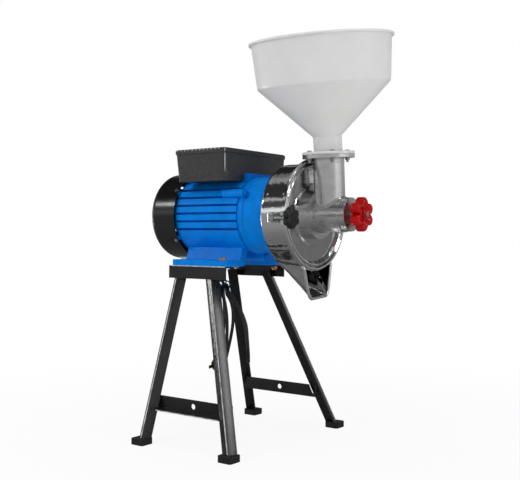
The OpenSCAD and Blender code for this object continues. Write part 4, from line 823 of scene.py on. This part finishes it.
def crowned_leg(name, node, top, foot, turn, side):
    """An angle with crowned outer faces from its foot to the rail, in the place of the plain one.

    side is 1 for the near side and -1 for the far one, its mirror image.
    """
    foot, top = Vector((foot[0], foot[1], 0)), Vector((top[0], top[1], LEG_AXIS_TOP))
    run = top - foot
    a, b = math.atan2(run.x, run.z), -math.asin(run.y / run.length)
    place = Matrix.Rotation(b, 3, "X") @ Matrix.Rotation(a, 3, "Y")
    q = math.radians(45 + turn)
    f1, f2 = Vector((math.cos(q), math.sin(q), 0)), Vector((-math.sin(q), math.cos(q), 0))
    n = 10
    loop = []
    for k in range(n + 1):
        t = 1 - k / n
        loop.append(f2 * (LEG_WIDTH * t) - f1 * (CROWN * (1 - (2 * t - 1) ** 2)))
    for k in range(1, n + 1):
        t = k / n
        loop.append(f1 * (LEG_WIDTH * t) - f2 * (CROWN * (1 - (2 * t - 1) ** 2)))
    loop += [f1 * LEG_WIDTH + f2 * LEG_WALL, f1 * LEG_WALL + f2 * LEG_WALL,
             f2 * LEG_WIDTH + f1 * LEG_WALL]
    rows = []
    axis = (place @ Vector((0, 0, 1)))
    for z in (LEG_LOW, 20, 90, 160, 230, 300, RAIL_LOW - 0.1, RAIL_LOW + 0.1, LEG_HIGH):
        row = []
        for v in loop:
            base = foot + place @ v
            q = base + axis * ((z - base.z) / axis.z)
            if z > RAIL_LOW:
                q.y = max(q.y, INSIDE_RAIL_Y)
            row.append(Vector((q.x, q.y * side, q.z)) * MM)
        rows.append(row)
    bm = bmesh.new()
    made = ring_stack(bm, rows)
    bm.faces.new(list(reversed(made[0])))
    bm.faces.new(made[-1])
    bmesh.ops.recalc_face_normals(bm, faces=bm.faces)
    put(name, finish_mesh(bm, name, 40), node=node, mat=M["black_paint"],
        stands_for=[node])
    # A painted highlight line along the leg's ridge
    ridge = [foot + axis * ((z - foot.z) / axis.z) for z in (13, 160, RAIL_LOW - 1)]
    ridge = [Vector((q.x, q.y * side, q.z)) for q in ridge]
    edge_line(name + "_ridge", ridge, 1.0, node, "painted_highlight")


for side, sgn in (("near", 1), ("far", -1)):
    for end, top, foot, turn in LEGS:
        crowned_leg(f"{side}_{end}_angle", f"{side}_{end}_leg", top, foot, turn, sgn)
# Painted highlight lines along the near rail's top edge and the near strap's lower edge
edge_line("near_rail_line", [(-191.5, -97.6, 340.6), (-49, -97.6, 340.6)], 1.0, "near_top_rail",
          "painted_highlight")
edge_line("near_strap_line", [(-163, -164.2, 65.3), (-10, -164.2, 65.3)], 1.0, "near_cross_strap",
          "painted_highlight")

# The box's near front corner: its place, the lid's underside and the corner's rounding; the base's
# draw from top to bottom, its height and its inset under the lid
BOX_CORNER_X, BOX_CORNER_Y, LID_LOW, BOX_ROUND = -47.25, -102, 558, 8
BASE_DRAW, BASE_HEIGHT, BASE_INSET = 4, 52, 1.5


def box_corner_highlight(name, node, z0, z1, inset, draw):
    """A painted highlight line down the middle of the box's rounded corner."""
    q = BOX_ROUND * (1 - math.sqrt(0.5))
    pts = []
    for z in (z0, (z0 + z1) / 2, z1):
        taper = draw * (LID_LOW - z) / BASE_HEIGHT
        pts.append((BOX_CORNER_X - inset - q - taper / 2, BOX_CORNER_Y + inset + q + taper, z))
    edge_line(name, pts, 0.9, node, "painted_highlight")


# Painted highlights down the near front corner of the base and of the lid
box_corner_highlight("box_corner_highlight", "box_base", 510, 558, BASE_INSET, BASE_DRAW)
box_corner_highlight("lid_corner_highlight", "box_lid", 561, 567, 0, 0)

# Floor, light and surroundings

# The floor's diffuse colour, and the radii of its mesh in metres
FLOOR_COLOR = (0.82, 0.82, 0.82, 1)
FLOOR_RINGS = (0.05, 0.6, 1.2, 2.2, 3.2)
WHITE = (1, 1, 1, 1)
# Smooth steps, each as (from, to, value at from, value at to). By the distance from the middle, how
# white the floor is to the camera and how bright in a reflection; by y, how much of the latter is kept
FLOOR_SEEN = (0.25, 1.3, 0.9, 1)
FLOOR_SHINE = (0.3, 1.2, 0.17, 0.30)
FLOOR_BEHIND = (-0.2, 0.6, 1, 0.6)
# Soft boxes: name, place, target, width, height, power, and the rays that don't see it. The leg and fan
# cards are only there for the sheen on the black paint.
LAMPS = [
    ("key", (-0.8, -2.5, 1.9), (0, 0, 0.42), 1.1, 1.1, 22, "glossy"),
    ("side", (2.5, -0.15, 0.75), (0, 0, 0.4), 0.35, 1.5, 15, "glossy"),
    ("leg_right", (1.95, 0.2, 1.45), (0, -0.14, 0.15), 0.5, 0.8, 8, "diffuse"),
    ("leg_left", (-2.2, -0.07, 0.26), (0, -0.14, 0.15), 0.35, 0.45, 7, "diffuse"),
    ("fan_spark", (-1.83, -1.67, 1.45), (-0.17, -0.08, 0.46), 0.35, 0.25, 4, "diffuse"),
    ("top", (0.1, -0.2, 2.4), (0, 0, 0.4), 1.4, 1.4, 16, None),
]
# What polished metal reflects: (height of the direction, brightness), from just under the horizon up
SKY_BANDS = ((-0.03, 0.30), (0.05, 0.30), (0.09, 0.95), (0.19, 0.95), (0.24, 0.05), (0.39, 0.05),
             (0.43, 0.42), (0.48, 0.42), (0.52, 0.03), (0.785, 0.03), (0.797, 0.3), (0.84, 0.3),
             (0.88, 0.22))
SKY_ENDS = (0.3, 0.5)
SKY_SOFT = 0.5
# Smooth steps as above: the bands' share by y, and a glow from the right, but not from in front
SKY_BEHIND = (-0.05, 0.12, 1, 0.55)
SKY_RIGHT = (0.66, 0.84, 0, 0.34)
SKY_RIGHT_FROM = (-0.3, -0.1)


def node_in(t, kind, inputs, **values):
    """A new node of a kind. inputs maps a socket to a value, or to the socket that feeds it."""
    made = t.nodes.new(kind)
    for k, v in values.items():
        setattr(made, k, v)
    for k, v in inputs.items():
        if isinstance(v, bpy.types.NodeSocket):
            t.links.new(v, made.inputs[k])
        else:
            made.inputs[k].default_value = v
    return made


def ease(t, value, from_min, from_max, to_min=0, to_max=1):
    """A smooth step of a value."""
    made = node_in(t, "ShaderNodeMapRange", {"Value": value, "From Min": from_min, "From Max": from_max,
                                             "To Min": to_min, "To Max": to_max},
                   interpolation_type="SMOOTHSTEP")
    return made.outputs["Result"]


def times(t, a, b):
    return node_in(t, "ShaderNodeMath", {0: a, 1: b}, operation="MULTIPLY").outputs[0]


def floor():
    bm = bmesh.new()
    rings = [[Vector((r * math.cos(a), r * math.sin(a), 0)) for a in around(64)] for r in FLOOR_RINGS]
    made = ring_stack(bm, rings)
    bm.faces.new(made[0])
    me = bpy.data.meshes.new("floor")
    bmesh.ops.recalc_face_normals(bm, faces=bm.faces)
    bm.to_mesh(me)
    bm.free()
    ob = bpy.data.objects.new("floor", me)
    bpy.context.scene.collection.objects.link(ob)
    m = bpy.data.materials.new("floor")
    m.use_nodes = True
    t = m.node_tree
    t.nodes.clear()
    rays = node_in(t, "ShaderNodeLightPath", {}).outputs
    place = node_in(t, "ShaderNodeTexCoord", {}).outputs["Object"]
    away = node_in(t, "ShaderNodeVectorMath", {0: place}, operation="LENGTH").outputs["Value"]
    matt = node_in(t, "ShaderNodeBsdfDiffuse", {"Color": FLOOR_COLOR}).outputs[0]
    white = node_in(t, "ShaderNodeEmission", {"Strength": 1}).outputs[0]
    share = times(t, rays["Is Camera Ray"], ease(t, away, *FLOOR_SEEN))
    seen = node_in(t, "ShaderNodeMixShader", {0: share, 1: matt, 2: white}).outputs[0]
    y = node_in(t, "ShaderNodeSeparateXYZ", {0: place}).outputs["Y"]
    shade = times(t, ease(t, away, *FLOOR_SHINE), ease(t, y, *FLOOR_BEHIND))
    grey = node_in(t, "ShaderNodeEmission", {"Color": WHITE, "Strength": shade}).outputs[0]
    both = node_in(t, "ShaderNodeMixShader", {0: rays["Is Glossy Ray"], 1: seen, 2: grey}).outputs[0]
    node_in(t, "ShaderNodeOutputMaterial", {"Surface": both})
    me.materials.append(m)


def area(name, place, target, width, height, power, hidden):
    data = bpy.data.lights.new(name, "AREA")
    data.shape = "RECTANGLE"
    data.size, data.size_y = width, height
    data.energy = power
    ob = bpy.data.objects.new(name, data)
    bpy.context.scene.collection.objects.link(ob)
    d = Vector(target) - Vector(place)
    turn = d.to_track_quat("-Z", "Y").to_matrix().to_4x4()
    ob.matrix_world = Matrix.Translation(place) @ turn
    ob.visible_glossy = hidden != "glossy"
    ob.visible_diffuse = hidden != "diffuse"


def world():
    """White to the camera, an even grey to matt surfaces, and bands of light to polished ones."""
    w = bpy.data.worlds.new("world")
    bpy.context.scene.world = w
    w.use_nodes = True
    t = w.node_tree
    t.nodes.clear()
    rays = node_in(t, "ShaderNodeLightPath", {}).outputs
    toward = node_in(t, "ShaderNodeTexCoord", {}).outputs["Generated"]
    xyz = node_in(t, "ShaderNodeSeparateXYZ", {0: toward}).outputs
    height = node_in(t, "ShaderNodeMapRange", {"Value": xyz["Z"], "From Min": -1, "From Max": 1})
    ramp = node_in(t, "ShaderNodeValToRGB", {"Fac": height.outputs["Result"]})
    for i, v in enumerate(SKY_ENDS):
        ramp.color_ramp.elements[i].position = i
        ramp.color_ramp.elements[i].color = (v, v, v, 1)
    for z, v in SKY_BANDS:
        e = ramp.color_ramp.elements.new((z + 1) / 2)
        e.color = (v, v, v, 1)
    back = ease(t, xyz["Y"], *SKY_BEHIND)
    right = times(t, ease(t, xyz["X"], *SKY_RIGHT), ease(t, xyz["Y"], *SKY_RIGHT_FROM))
    shine = node_in(t, "ShaderNodeMixRGB", {"Fac": 1, "Color1": ramp.outputs["Color"], "Color2": back},
                    blend_type="MULTIPLY")
    glow = node_in(t, "ShaderNodeMixRGB", {"Fac": 1, "Color1": shine.outputs["Color"], "Color2": right},
                   blend_type="ADD")
    room = node_in(t, "ShaderNodeBackground", {"Color": glow.outputs["Color"]}).outputs[0]
    soft = node_in(t, "ShaderNodeBackground", {"Color": WHITE, "Strength": SKY_SOFT}).outputs[0]
    white = node_in(t, "ShaderNodeBackground", {"Color": WHITE, "Strength": 1}).outputs[0]
    unseen = node_in(t, "ShaderNodeMixShader", {0: rays["Is Glossy Ray"], 1: soft, 2: room}).outputs[0]
    both = node_in(t, "ShaderNodeMixShader", {0: rays["Is Camera Ray"], 1: unseen, 2: white}).outputs[0]
    node_in(t, "ShaderNodeOutputWorld", {"Surface": both})


floor()
for lamp in LAMPS:
    area(*lamp)
world()
bpy.context.scene.view_settings.view_transform = "Standard"
